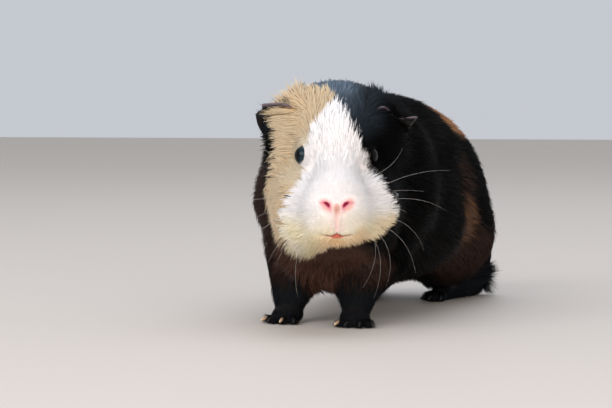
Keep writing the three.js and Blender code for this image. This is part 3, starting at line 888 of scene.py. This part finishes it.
def hair_sizes(points, of_head, of_leg):
    """Length and width of a tuft, and how many tufts grow on a square millimetre."""
    aside, ahead, height = head_places(points)
    zones = coat_zones(points, of_head, of_leg)
    from_nose = np.linalg.norm(points - on_head(0, 40, 57), axis=1)
    on_face = np.interp(from_nose, [3, 8, 16, 26, 40, 60], [1.4, 2.6, 4.6, 6.6, 9.0, 12.0])
    long = blend(BODY_HAIR, on_face, of_head) + 2.5 * zones["fringe"]
    long = blend(long, LEG_HAIR, of_leg)
    long = long + (FOOT_HAIR - long) * of_leg * rise(height, 34, 6)
    long = blend(long, RUMP_HAIR, zones["rump"])
    by_ear = zones["ear"] * (0.45 * rise(aside, 0, 8) + 0.28 * rise(-aside, 12, 20))
    long = long * (1 - by_ear - 0.5 * zones["behind_ear"])
    by_eye = np.minimum(from_eye(points, 1), from_eye(points, -1))
    long = np.minimum(long, np.maximum(LID_HAIR, LID_HAIR + 1.2 * (by_eye - 5.2)))
    off_line = height - mouth_line(aside)
    by_mouth = (np.abs(aside) < 8) & (ahead > 27) & (off_line > 0)
    long = np.where(by_mouth, np.minimum(long, 0.7 + 0.8 * off_line), long)
    wide = np.interp(long, [1.0, 3.0, 6.0, 9.0, 14.0], [0.17, 0.20, 0.25, 0.32, 0.46])
    wide = wide * (1 - 0.15 * zones["crown"] - 0.35 * zones["rump"])
    return long, wide, COVER / (0.6 * long * wide)


chance = np.random.default_rng(20)

grid_outline = on_grid(outline)
grid_slope = np.stack(np.gradient(grid_outline, *GRID), -1)
skin_points, skin_triangles, of_ear = skin_mesh(on_grid(skin_shape))
skin_normals = normals_of(skin_points, skin_triangles)
skin = mesh_object("skin", skin_points, skin_triangles)


def unwrap(made):
    """An unwrap of the skin's own shape; the tufts take their places on it from their roots."""
    made.data.uv_layers.new(name="OFBake")
    bpy.context.view_layer.objects.active = made
    made.select_set(True)
    bpy.ops.object.mode_set(mode="EDIT")
    bpy.ops.mesh.select_all(action="SELECT")
    bpy.ops.uv.smart_project(angle_limit=math.radians(66), island_margin=0.002)
    bpy.ops.object.mode_set(mode="OBJECT")
    made.select_set(False)
    flat = np.empty(len(made.data.loops) * 2, np.float32)
    made.data.uv_layers["OFBake"].data.foreach_get("uv", flat)
    return flat.reshape(-1, 3, 2)


skin_map = unwrap(skin)


# ---- the coat: thin tapering tufts rooted in the skin ----

COVER = 4.6                      # how many tufts lie over one another
FACES_IN_A_PIECE = 195000        # at most
SHADES = ["pale", "warm_tint_and_shade", "amber", "dusk", "painted_sheen"]      # marks that tint a tuft; the sheen among them is a painted reflection and part of the warm tint is painted shade
PATCH = 0.003                    # how wide a tuft's own patch is on the map
BENT = {
    "faces": np.array([(0, 1, 4), (0, 4, 3), (1, 2, 5), (1, 5, 4), (2, 0, 3), (2, 3, 5),
                       (3, 4, 6), (4, 5, 6), (5, 3, 6), (0, 2, 1)]),
    "along": np.array([0, 0, 0, 0.5, 0.5, 0.5, 1.0]),
    "spots": np.array([(-1, -1), (1, -1), (0, -1), (-1, 0), (1, 0), (0, 0), (0, 1)]) * PATCH / 2,
    "kept": [0, 1, 2, 3, 4, 5, 6],
}
STRAIGHT = {
    "faces": np.array([(0, 1, 3), (1, 2, 3), (2, 0, 3), (0, 2, 1)]),
    "along": np.array([0, 0, 0, 1.0]),
    "spots": np.array([(-1, -1), (1, -1), (0, -1), (0, 1)]) * PATCH / 2,
    "kept": [0, 1, 2, 6],
}
STRAIGHT_UNDER = 6.0             # tufts shorter than this are straight
STRAYS = 0.012                   # the share of the tufts that stand off the others
ROOT_DEPTH = 0.25                # how deep in the skin a tuft begins


def rooted():
    """Where tufts grow: the number of a triangle for each, and its place in it."""
    corners = skin_points[skin_triangles]
    area = np.linalg.norm(np.cross(corners[:, 1] - corners[:, 0], corners[:, 2] - corners[:, 0]), axis=1) / 2
    middles = corners.mean(1)
    facing = skin_normals[skin_triangles].mean(1)
    marks = markings(middles)
    _, _, crowd = hair_sizes(middles, marks["of_head"], marks["of_leg"])
    bare = bare_places(middles, of_ear[skin_triangles].mean(1))
    crowd = crowd * (1 - bare["pad"]) * (1 - 0.6 * bare["under"]) * (1 - bare["lip"])
    crowd = crowd * (1 - 0.9 * bare["ear"])
    crowd = np.where((middles[:, 2] < 1.2) & (facing[:, 2] < -0.5), 0, crowd)
    for side in SIDES:
        above, off = eye_places(middles, side)
        crowd = np.where((off < OPENING[side] + 0.45) & (above > -2) & (above < 7), 0, crowd)
    total = np.cumsum(area * crowd)
    number = int(total[-1])
    picks = np.searchsorted(total, np.arange(number) + chance.random(number))
    picks = np.minimum(picks, len(total) - 1)
    u, v = chance.random(number), chance.random(number)
    over = u + v > 1
    u, v = np.where(over, 1 - u, u), np.where(over, 1 - v, v)
    return picks, np.stack([1 - u - v, u, v], 1)


def across_way(way, normals):
    """A way laid flat on the surface that has these normals."""
    return unit(way - (way * normals).sum(1, keepdims=True) * normals)


def grown():
    """Every tuft as seven points and the way its surface faces at each: two rings of three and a tip."""
    picks, part = rooted()
    corners = skin_triangles[picks]
    roots = (skin_points[corners] * part[:, :, None]).sum(1)
    normals = unit((skin_normals[corners] * part[:, :, None]).sum(1))
    places = (skin_map[picks] * part[:, :, None]).sum(1)
    count = len(roots)
    of_head, of_leg = shares(roots, head(roots), trunk(roots), legs(roots))
    zones = coat_zones(roots, of_head, of_leg)
    long, wide, _ = hair_sizes(roots, of_head, of_leg)
    ear_share = (of_ear[corners] * part).sum(1)
    ear = ear_share > 0.5
    long = blend(long, EAR_HAIR, np.minimum(2.2 * ear_share, 1)) * chance.uniform(0.7, 1.2, count)
    wide = np.where(ear, 0.2, wide) * chance.uniform(0.75, 1.2, count)
    depth = coat_depth(roots, of_head, of_leg)
    lift = depth * (0.4 + 0.7 * chance.random(count) ** 1.5)
    stray = chance.random(count) < STRAYS + 0.03 * zones["crown"]
    lift = lift + np.where(stray, 1.0 + 0.3 * zones["crown"], 0) * rise(long, 4, 8)
    lift = lift + long * (0.10 * zones["ear"] + (0.13 * zones["fluff"] + 0.34 * zones["tuft"])
                          * chance.random(count))
    lift = lift + long * (zones["rump"] * chance.uniform(0.0, 0.2, count) + 0.06 * zones["fringe"])
    lift = np.minimum(lift, 0.5 * long)
    way = lie(roots, of_head, of_leg)
    first = across_way(way, normals)
    sideways = np.cross(normals, first)
    swerve = 0.14 * ripple(roots, 6, 21) + 0.12 * ripple(roots, 2.2, 22) + chance.normal(0, 0.08, count)
    first = unit(first + swerve[:, None] * sideways)
    half = (long / 2)[:, None]
    middle = roots + first * half + normals * (0.6 * lift)[:, None]
    loose = zones["ear"] + zones["fluff"] + zones["tuft"] + zones["fringe"] + zones["rump"]
    by_eye = np.minimum(from_eye(roots, 1), from_eye(roots, -1))
    follows = ((long > 4.5) & ~ear & (loose < 0.3) & (by_eye > 13))[:, None]

    def levelled(points, rise_above):
        """Moves points to their height over the skin, measured on the outline's own slope."""
        value = looked_up(grid_outline, points)
        slope = looked_up(grid_slope, points)
        size = (slope ** 2).sum(1)
        reach = 2.5 - 1.6 * of_head
        shift = np.clip((rise_above - depth - value) / np.maximum(size, 0.2), -reach, reach)
        shift = shift * rise(size, 0.25, 0.6)
        return np.where(follows, points + slope * shift[:, None], points), slope

    middle, slope = levelled(middle, 0.6 * lift)
    over = np.where(follows, unit(slope), normals)
    second = across_way(lie(middle, of_head, of_leg), over)
    second = unit(second + swerve[:, None] * 1.3 * np.cross(over, second))
    second = np.where(follows, second, first)
    second = unit(second + (0.6 * zones["fringe"])[:, None] * DOWN)
    tip = middle + second * half + over * (0.4 * lift)[:, None]
    tip, _ = levelled(tip, lift)
    roots = roots - normals * ROOT_DEPTH
    ring, facing = [], []
    tilt = chance.normal(0, 0.12, (count, 3))
    for centre, direction, normal, size in ((roots, first, normals, 0.8), (middle, second, over, 1.0)):
        beside = unit(np.cross(normal, direction))
        spread = beside * (wide / 2 * size)[:, None]
        thick = normal * (wide * 0.25 * size)[:, None]
        ring += [centre - spread - thick * 0.5, centre + spread - thick * 0.5, centre + thick]
        facing += [normal - 0.5 * beside + tilt, normal + 0.5 * beside + tilt, normal + tilt]
    facing = [unit(ways) for ways in facing + [over + tilt]]
    marks = markings(0.4 * middle + 0.6 * tip, chance.normal(0, 0.5, count))
    marks["straight"] = (long < STRAIGHT_UNDER) & (zones["fringe"] < 0.3)
    return np.stack(ring + [tip], 1), np.stack(facing, 1), places, marks, chance.random(count), ear


def coat_pieces():
    """The tufts as mesh objects, sorted by their colour and by whether they are straight."""
    points, facing, places, marks, lock, ear = grown()
    points[:, :, 2] = np.maximum(points[:, :, 2], SOLE_HEIGHT)
    toss = chance.random(len(lock))
    zone = np.full(len(lock), "black", object)
    zone[marks["brown"] > 0.04 + 0.08 * toss] = "brown"
    marks["dusk"] = np.clip(1 - marks["brown"] + 0.3 * (toss - 0.5), 0, 1)
    zone[marks["tan"] > 0.5] = "tan"
    zone[marks["white"] > 0.5] = "white"
    zone[ear] = "black"
    shades = {name: marks[name] for name in SHADES} | {"lock": lock}

    def piece_of(name, form, group):
        size, kept = len(form["kept"]), form["kept"]
        faces = (np.arange(len(group))[:, None, None] * size + form["faces"]).reshape(-1, 3)
        piece = mesh_object(name, points[group][:, kept].reshape(-1, 3), faces)
        piece.data.normals_split_custom_set_from_vertices(facing[group][:, kept].reshape(-1, 3))
        spots = (places[group][:, None] + form["spots"]).reshape(-1, 2)
        layer = piece.data.uv_layers.new(name="OFBake")
        layer.data.foreach_set("uv", spots[faces.ravel()].astype(np.float32).ravel())
        of_tufts = {name: np.repeat(values[group], size) for name, values in shades.items()}
        mark(piece, along=np.tile(form["along"], len(group)), **of_tufts)
        return piece

    made = []
    for colour_name in ("white", "tan", "brown", "black"):
        for kind, form in (("short", STRAIGHT), ("long", BENT)):
            chosen = np.flatnonzero((zone == colour_name) & (marks["straight"] == (kind == "short")))
            chosen = chosen[np.argsort(points[chosen, 0, 1], kind="stable")]
            parts = math.ceil(len(chosen) * len(form["faces"]) / FACES_IN_A_PIECE)
            for n, group in enumerate(np.array_split(chosen, parts), 1):
                made.append((colour_name, piece_of(f"coat_{colour_name}_{kind}_{n}", form, group)))
    return made


# ---- eyes, claws and whiskers ----

def tube(centres, radii, sides, flat=1.0):
    """A closed tube round a line of centres, with a radius at each; flat is its width over its height."""
    along = unit(np.gradient(centres, axis=0))
    beside = unit(np.cross(along, UP))
    over = np.cross(beside, along)
    angle = np.arange(sides) * 2 * math.pi / sides
    cos, sin = np.cos(angle)[None, :, None], np.sin(angle)[None, :, None]
    round_one = cos * beside[:, None] * flat + sin * over[:, None]
    rings = centres[:, None] + radii[:, None, None] * round_one
    count = len(centres)
    points = np.concatenate([rings.reshape(-1, 3), centres[:1], centres[-1:]])
    n, m = np.meshgrid(np.arange(count - 1), np.arange(sides), indexing="ij")
    a, b = (n * sides + m).ravel(), (n * sides + (m + 1) % sides).ravel()
    faces = [np.stack([a, b, b + sides], 1), np.stack([a, b + sides, a + sides], 1)]
    m = np.arange(sides)
    first, last = count * sides, count * sides + 1
    faces.append(np.stack([np.full(sides, first), (m + 1) % sides, m], 1))
    end = (count - 1) * sides
    faces.append(np.stack([np.full(sides, last), end + m, end + (m + 1) % sides], 1))
    return points, np.concatenate(faces)


EYE_RINGS, EYE_SIDES = 40, 48
CORNEA = 0.05                    # how much fuller the globe is at its cornea


def eye_piece(side):
    """A dark globe, a little fuller at the cornea."""
    t = np.linspace(0.001, math.pi - 0.001, EYE_RINGS)
    axis = eye_axis(side)
    centres = EYE_MIDDLES[side] - np.cos(t)[:, None] * axis * EYE_RADIUS
    radii = np.sin(t) * EYE_RADIUS
    points, faces = tube(centres, radii, EYE_SIDES)
    away = points - EYE_MIDDLES[side]
    facing = (away @ axis) / EYE_RADIUS
    points = EYE_MIDDLES[side] + away * (1 + CORNEA * rise(facing, 0.55, 1.0))[:, None]
    name = SIDE_NAMES[side]
    made = mesh_object(f"eyeball_{name}", points, faces)
    mark(made, pupil=rise(facing, 0.72, 0.86))
    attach(made, "root")
    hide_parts(f"eye_{name}")
    return made


PALE_CLAWS = ["claw_fore_right_1", "claw_fore_right_3", "claw_fore_left_1"]
CLAW_RINGS, CLAW_SIDES = 14, 12
CLAW_FLAT = 0.72                 # a claw's width over its height
FORE_CLAW = {"radius": 0.95, "long": 3.8, "height": 2.1}
HIND_CLAW = {"radius": 1.1, "long": 5.2, "height": 2.4}


def claw_piece(name, fan, tip, radius, long, height):
    """A curved horn, narrower than it is high, with a blunt tip."""
    t = np.linspace(-0.15, 1, CLAW_RINGS)
    x, y = toward(tip, fan, 0.8)
    start = at(x, y, height)
    way = np.array([math.sin(math.radians(fan)), -math.cos(math.radians(fan)), 0.0])
    drop = (0.35 - np.maximum(t, 0) ** 2) * long * 0.28
    centres = start + t[:, None] * long * way + drop[:, None] * UP
    radii = radius * np.sqrt(np.maximum(1 - np.maximum(t, 0) ** 1.6, 0.0)) * 0.95 + 0.06
    made = mesh_object(f"horn_{name}", *tube(centres, radii, CLAW_SIDES, CLAW_FLAT))
    along = np.concatenate([np.repeat(np.maximum(t, 0), CLAW_SIDES), [0, 1]])
    mark(made, along=along, pale=np.full(len(along), 1.0 if name in PALE_CLAWS else 0.0))
    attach(made, "root")
    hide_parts(name)
    return made


def claw_pieces():
    """Four claws on each forefoot and three on each hind foot."""
    made = []
    for which in ("left", "right"):
        for n, (fan, _, tip) in enumerate(fore_toes(FORELEGS[which]), 1):
            made.append(claw_piece(f"claw_fore_{which}_{n}", fan, tip, **FORE_CLAW))
        for n, (fan, _, tip) in enumerate(hind_toes(HINDLEGS[which]), 1):
            made.append(claw_piece(f"claw_hind_{which}_{n}", fan, tip, **HIND_CLAW))
    return made


# Whiskers: side, root and tip (aside, ahead, height), and where the middle is pushed: aside and up.
WHISKERS = [
    (1, (18, 21, 71), (30.1, 4, 82.3), (3.0, -1.5)),
    (1, (15, 26, 63), (52.3, -2, 72), (0.0, 6.0)),
    (1, (15, 26, 62), (40, 4, 62.7), (1.0, 2.5)),
    (1, (15, 27, 58), (50.8, -2, 53.4), (3.0, 8.0)),
    (1, (15, 26, 56), (32, 8, 53.4), (1.0, 3.0)),
    (1, (15, 26, 53), (40, 4, 36), (7.0, 8.0)),
    (1, (13, 28, 50), (22.5, 12, 20), (11.0, 4.0)),
    (1, (13, 28, 49), (12, 16, 20), (10.0, 3.0)),
    (1, (12, 29, 49), (17, 14, 15), (10.0, 4.0)),
    (1, (11, 29, 52), (36, 8, 26), (9.0, 8.0)),
    (-1, (14, 28, 60), (44.5, 5, 57.5), (1.0, 3.0)),
    (-1, (14, 28, 58), (43.5, 1, 47), (2.0, 3.0)),
    (-1, (14, 28, 55), (44.5, 3, 36), (3.0, 5.0)),
    (-1, (13, 28, 53), (39, 6, 41), (3.0, 5.0)),
    (-1, (13, 28, 51), (31, 12, 30), (3.0, 4.0)),
    (-1, (12, 28, 50), (27, 10, 29), (3.0, 4.0)),
    (-1, (11, 29, 49), (17, 18, 16), (7.0, 2.0)),
    (-1, (19, 21, 72), (36, -2, 84), (0.5, 1.5)),
]
WHISKER_RINGS, WHISKER_SIDES = 15, 5
WHISKER_RADIUS = 0.052


def whisker_piece():
    """White bristles from the sides of the muzzle, curving as they droop."""
    points, faces, count = [], [], 0
    t = np.linspace(0, 1, WHISKER_RINGS)[:, None]
    for side, root, tip, (aside, up) in WHISKERS:
        start, end = [on_head(side * place[0], *place[1:]) for place in (root, tip)]
        middle = (start + end) / 2 + up * UP + side * aside * ACROSS
        line = (1 - t) ** 2 * start + 2 * t * (1 - t) * middle + t ** 2 * end
        own_points, own_faces = tube(line, WHISKER_RADIUS * (1 - 0.7 * t[:, 0]), WHISKER_SIDES)
        points.append(own_points)
        faces.append(own_faces + count)
        count += len(own_points)
    made = mesh_object("whiskers", np.concatenate(points), np.concatenate(faces))
    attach(made, "root")
    return made


# ---- materials ----

def colour(code):
    """An sRGB hex colour as linear values."""
    values = [int(code[i:i + 2], 16) / 255 for i in (1, 3, 5)]
    return tuple(v / 12.92 if v <= 0.04045 else ((v + 0.055) / 1.055) ** 2.4 for v in values) + (1.0,)


def node(tree, kind, settings=None, inputs=None):
    """Adds a node with its settings; each input is a value or another node's output."""
    made = tree.nodes.new(kind)
    for name, value in (settings or {}).items():
        setattr(made, name, value)
    for name, value in (inputs or {}).items():
        if isinstance(value, bpy.types.NodeSocket):
            tree.links.new(value, made.inputs[name])
        else:
            made.inputs[name].default_value = value
    return made


def finish_of(name, looks):
    """A new material with an empty tree, its surface shader with these looks, and its output."""
    material = bpy.data.materials.new(name)
    material.use_nodes = True
    tree = material.node_tree
    tree.nodes.clear()
    shader = node(tree, "ShaderNodeBsdfPrincipled", inputs=looks)
    node(tree, "ShaderNodeOutputMaterial", inputs={"Surface": shader.outputs["BSDF"]})
    return material, tree, shader


def layered(tree, base, *layers):
    """Colours laid one over another, each as strongly as the mark it is named with."""
    for name, top in layers:
        share = node(tree, "ShaderNodeAttribute", {"attribute_name": name}).outputs["Fac"]
        over = {0: share, 6: base, 7: colour(top) if isinstance(top, str) else top}
        base = node(tree, "ShaderNodeMix", {"data_type": "RGBA"}, over).outputs[2]
    return base


# Noise is spread over a mesh's own box, so its scale is the box's length over the size of a grain.
SKIN_LONG, UNDERFUR_CLUMP = 244.8, 0.272
WHISKERS_WIDE, BRISTLE_GRAIN = 90.4, 0.226
CLAW_LONG, HORN_GRAIN = 4.4, 0.002       # the grain is too fine to show and only dulls the horn
FLOOR_LONG, BOARD_MOTTLE = 12000.0, 4000.0


def hair(name, colours, marked, darkest, roughness, gloss):
    """Keratin guard hair lying in locks: satin along each hair, darker in the depth, lighter at the tip."""
    root, shaft, tip = colours
    material, tree, shader = finish_of(name, {"Roughness": roughness, "IOR": 1.55,
                                              "Specular IOR Level": gloss})
    along = node(tree, "ShaderNodeAttribute", {"attribute_name": "along"}).outputs["Fac"]
    ramp = node(tree, "ShaderNodeValToRGB", inputs={"Fac": along})
    stops = ramp.color_ramp.elements
    stops[0].color = colour(root)
    stops[1].color = colour(tip)
    stops.new(0.45).color = colour(shaft)
    base = layered(tree, ramp.outputs["Color"], *marked)
    lock = node(tree, "ShaderNodeAttribute", {"attribute_name": "lock"}).outputs["Fac"]
    shade = node(tree, "ShaderNodeMapRange", inputs={"Value": lock, 3: darkest, 4: 1.04}).outputs[0]
    base = node(tree, "ShaderNodeVectorMath", {"operation": "SCALE"}, {"Vector": base, "Scale": shade})
    tree.links.new(base.outputs["Vector"], shader.inputs["Base Color"])
    return material


def skin_finish():
    """Skin with a fuzz of underfur in the colours of the coat; bare and pink on the nose and lips."""
    material, tree, shader = finish_of("skin_and_underfur", {"Roughness": 0.55, "Specular IOR Level": 0.12})
    clumps = node(tree, "ShaderNodeTexNoise", inputs={"Scale": SKIN_LONG / UNDERFUR_CLUMP, "Detail": 3.0})
    dark = node(tree, "ShaderNodeMix", {"data_type": "RGBA"},
                {0: clumps.outputs["Fac"], 6: colour("#030303"), 7: colour("#080707")}).outputs[2]
    # the warm tint is partly the chin's own colour and partly painted shade on the lower left cheek
    face = layered(tree, colour("#e9e2e0"), ("pale", "#d9c496"), ("warm_tint_and_shade", "#c79f72"))
    # the rim colour is a painted highlight along the ears' free edges and upper folds
    base = layered(tree, dark, ("brown", "#35241d"), ("tan", "#a8875a"), ("white", face), ("ear", "#0d0a0a"),
                   ("rim", "#6b5d63"), ("pad", "#dcaaa2"), ("under", "#dabdb7"), ("septum", "#b98b7c"),
                   ("flush", "#cf7c8a"), ("pit", "#9a2c4e"), ("lip", "#b65f4d"), ("crease", "#96683f"))
    tree.links.new(base, shader.inputs["Base Color"])
    fuzz = node(tree, "ShaderNodeBump", inputs={"Strength": 0.25, "Distance": 0.0002,
                                                "Height": clumps.outputs["Fac"]})
    tree.links.new(fuzz.outputs["Normal"], shader.inputs["Normal"])
    return material


def eye_finish():
    """A wet dark eye: an almost black iris, tinted teal as a painted bluish reflection, under a clear cornea
    with a sharp highlight.
    """
    looks = {"Roughness": 0.04, "IOR": 1.376, "Specular IOR Level": 0.25}
    material, tree, shader = finish_of("wet_dark_eye", looks)
    # the teal of the iris is a painted bluish reflection
    base = layered(tree, colour("#14282f"), ("pupil", "#030506"))
    tree.links.new(base, shader.inputs["Base Color"])
    return material


def horn_finish():
    """Claw horn: waxy and dark, or pale with the pink quick showing at the root."""
    material, tree, shader = finish_of("claw_horn", {"Roughness": 0.35})
    pale = layered(tree, colour("#a98369"), ("along", "#cdb594"))
    base = layered(tree, colour("#1a1513"), ("pale", pale))
    grain = node(tree, "ShaderNodeTexNoise", inputs={"Scale": CLAW_LONG / HORN_GRAIN, "Detail": 2.0})
    dulled = node(tree, "ShaderNodeBump", inputs={"Strength": 0.3, "Distance": 0.0001,
                                                  "Height": grain.outputs["Fac"]})
    tree.links.new(base, shader.inputs["Base Color"])
    tree.links.new(dulled.outputs["Normal"], shader.inputs["Normal"])
    return material


def bristle_finish():
    """Whisker keratin: stiff, clear white and glossy."""
    material, tree, shader = finish_of("whisker_bristle", {"Roughness": 0.3})
    grain = node(tree, "ShaderNodeTexNoise", inputs={"Scale": WHISKERS_WIDE / BRISTLE_GRAIN})
    base = node(tree, "ShaderNodeMix", {"data_type": "RGBA"},
                {0: grain.outputs["Fac"], 6: colour("#aaa49e"), 7: colour("#d8d4d0")})
    tree.links.new(base.outputs[2], shader.inputs["Base Color"])
    return material


def floor_finish():
    """Pale matt board, very slightly uneven in colour."""
    material, tree, shader = finish_of("pale_floor", {"Roughness": 0.6})
    mottle = node(tree, "ShaderNodeTexNoise", inputs={"Scale": FLOOR_LONG / BOARD_MOTTLE, "Detail": 4.0})
    base = node(tree, "ShaderNodeMix", {"data_type": "RGBA"},
                {0: mottle.outputs["Fac"], 6: colour("#cec4b8"), 7: colour("#d7cec4")})
    tree.links.new(base.outputs[2], shader.inputs["Base Color"])
    return material


# ---- putting the animal together ----

marks = markings(skin_points)
shown = {name: marks[name] for name in ("white", "tan", "brown", "pale", "warm_tint_and_shade")}
# the rim mark is a painted highlight along each ear's free edge and upper fold
mark(skin, rim=ear_rim_highlight(skin_points, of_ear), **shown, **bare_places(skin_points, of_ear))
skin.data.materials.append(skin_finish())
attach(skin, "root")
FLESH = ["head", "jaw", "nose", "neck", "trunk", "hindquarters"]
FLESH += [f"{part}_{which}" for which in ("left", "right")
          for part in ("ear", "foreleg", "hindleg", "forefoot", "hindfoot")]
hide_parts(*FLESH)

# Colours at the root, along the shaft and at the tip.
HAIR = {
    # in the white hair the warm tint is partly the chin's own colour and partly painted shade on the lower
    # left cheek
    "white": hair("white_guard_hair", ("#e6e0dd", "#f4f1f0", "#f9f7f6"),
                  [("pale", "#f2e5bb"), ("warm_tint_and_shade", "#e6c9a2")], darkest=0.88, roughness=0.6, gloss=0.2),
    "tan": hair("tan_guard_hair", ("#b9996b", "#cdb28c", "#dbc8a8"),
                [("pale", "#dacdb2")], darkest=0.86, roughness=0.6, gloss=0.2),
    "brown": hair("brown_guard_hair", ("#2a1b15", "#4b332a", "#664a3e"),
                  [("amber", "#a87750"), ("dusk", "#080606")], darkest=0.6, roughness=0.6, gloss=0.05),
    # the black hair's sheen colour is a painted slate reflection of the window light
    "black": hair("black_guard_hair", ("#020202", "#040404", "#0c0b0a"),
                  [("painted_sheen", "#728393")], darkest=0.5, roughness=0.55, gloss=0.02),
}
for colour_name, piece in coat_pieces():
    piece.data.materials.append(HAIR[colour_name])
    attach(piece, "root")

wet = eye_finish()
for side in SIDES:
    eye_piece(side).data.materials.append(wet)
horn = horn_finish()
for piece in claw_pieces():
    piece.data.materials.append(horn)
whisker_piece().data.materials.append(bristle_finish())


# ---- floor, light and camera ----

def floor():
    """A plain pale floor."""
    corners = np.array([(-1, -1, 0), (1, -1, 0), (1, 1, 0), (-1, 1, 0)]) * FLOOR_LONG / 2
    made = mesh_object("floor", corners, np.array([(0, 1, 2), (0, 2, 3)]))
    made.data.materials.append(floor_finish())


def lamp(name, place, target, size, power, tint):
    """A soft rectangular light that points at its target; lengths in metres."""
    light = bpy.data.lights.new(name, "AREA")
    light.shape = "RECTANGLE"
    light.size, light.size_y = size
    light.energy = power
    light.color = colour(tint)[:3]
    made = bpy.data.objects.new(name, light)
    bpy.context.scene.collection.objects.link(made)
    made.location = place
    way = np.array(target) - place
    made.rotation_euler = Vector(way).to_track_quat("-Z", "Y").to_euler()


def studio():
    """Daylight from a window in front, its bounce, and an even room."""
    lamp("window", (-0.6, -1.75, 1.0), (0, 0, 0.05), (1.6, 1.2), 25.5, "#fbfaff")
    lamp("bounce", (0.8, -1.4, 0.3), (0, -0.05, 0.04), (1.6, 0.6), 14, "#fff2e4")
    lamp("sky", (0.2, 0.5, 1.9), (0, 0, 0.05), (1.8, 1.8), 15, "#e2ebff")
    world = bpy.data.worlds.new("room")
    world.use_nodes = True
    room = world.node_tree.nodes["Background"]
    room.inputs["Color"].default_value = colour("#d3d7de")
    room.inputs["Strength"].default_value = 0.86
    bpy.context.scene.world = world
    bpy.context.scene.view_settings.view_transform = "Standard"


CAMERA_AZIMUTH = math.radians(18)
CAMERA_AWAY = 1000.0
CAMERA_HEIGHT = 100.0
CAMERA_PITCH = math.radians(2.507)
CAMERA_ASIDE = -6.5
CAMERA_LENS = 127.65


def camera():
    """Low and from the front left, level with the crown."""
    sin, cos = math.sin(CAMERA_AZIMUTH), math.cos(CAMERA_AZIMUTH)
    back = np.array([sin, -cos, 0])
    right = np.array([cos, sin, 0])
    place = START + CAMERA_AWAY * back + CAMERA_ASIDE * right + CAMERA_HEIGHT * UP
    made = bpy.data.objects.new("camera", bpy.data.cameras.new("camera"))
    bpy.context.scene.collection.objects.link(made)
    made.location = place / MM
    made.rotation_euler = (math.pi / 2 - CAMERA_PITCH, 0, CAMERA_AZIMUTH)
    made.data.lens = CAMERA_LENS
    made.data.sensor_width = 36.0
    made.data.clip_start = 0.05
    made.data.clip_end = 50.0
    bpy.context.scene.camera = made


floor()
studio()
camera()
bpy.context.view_layer.update()
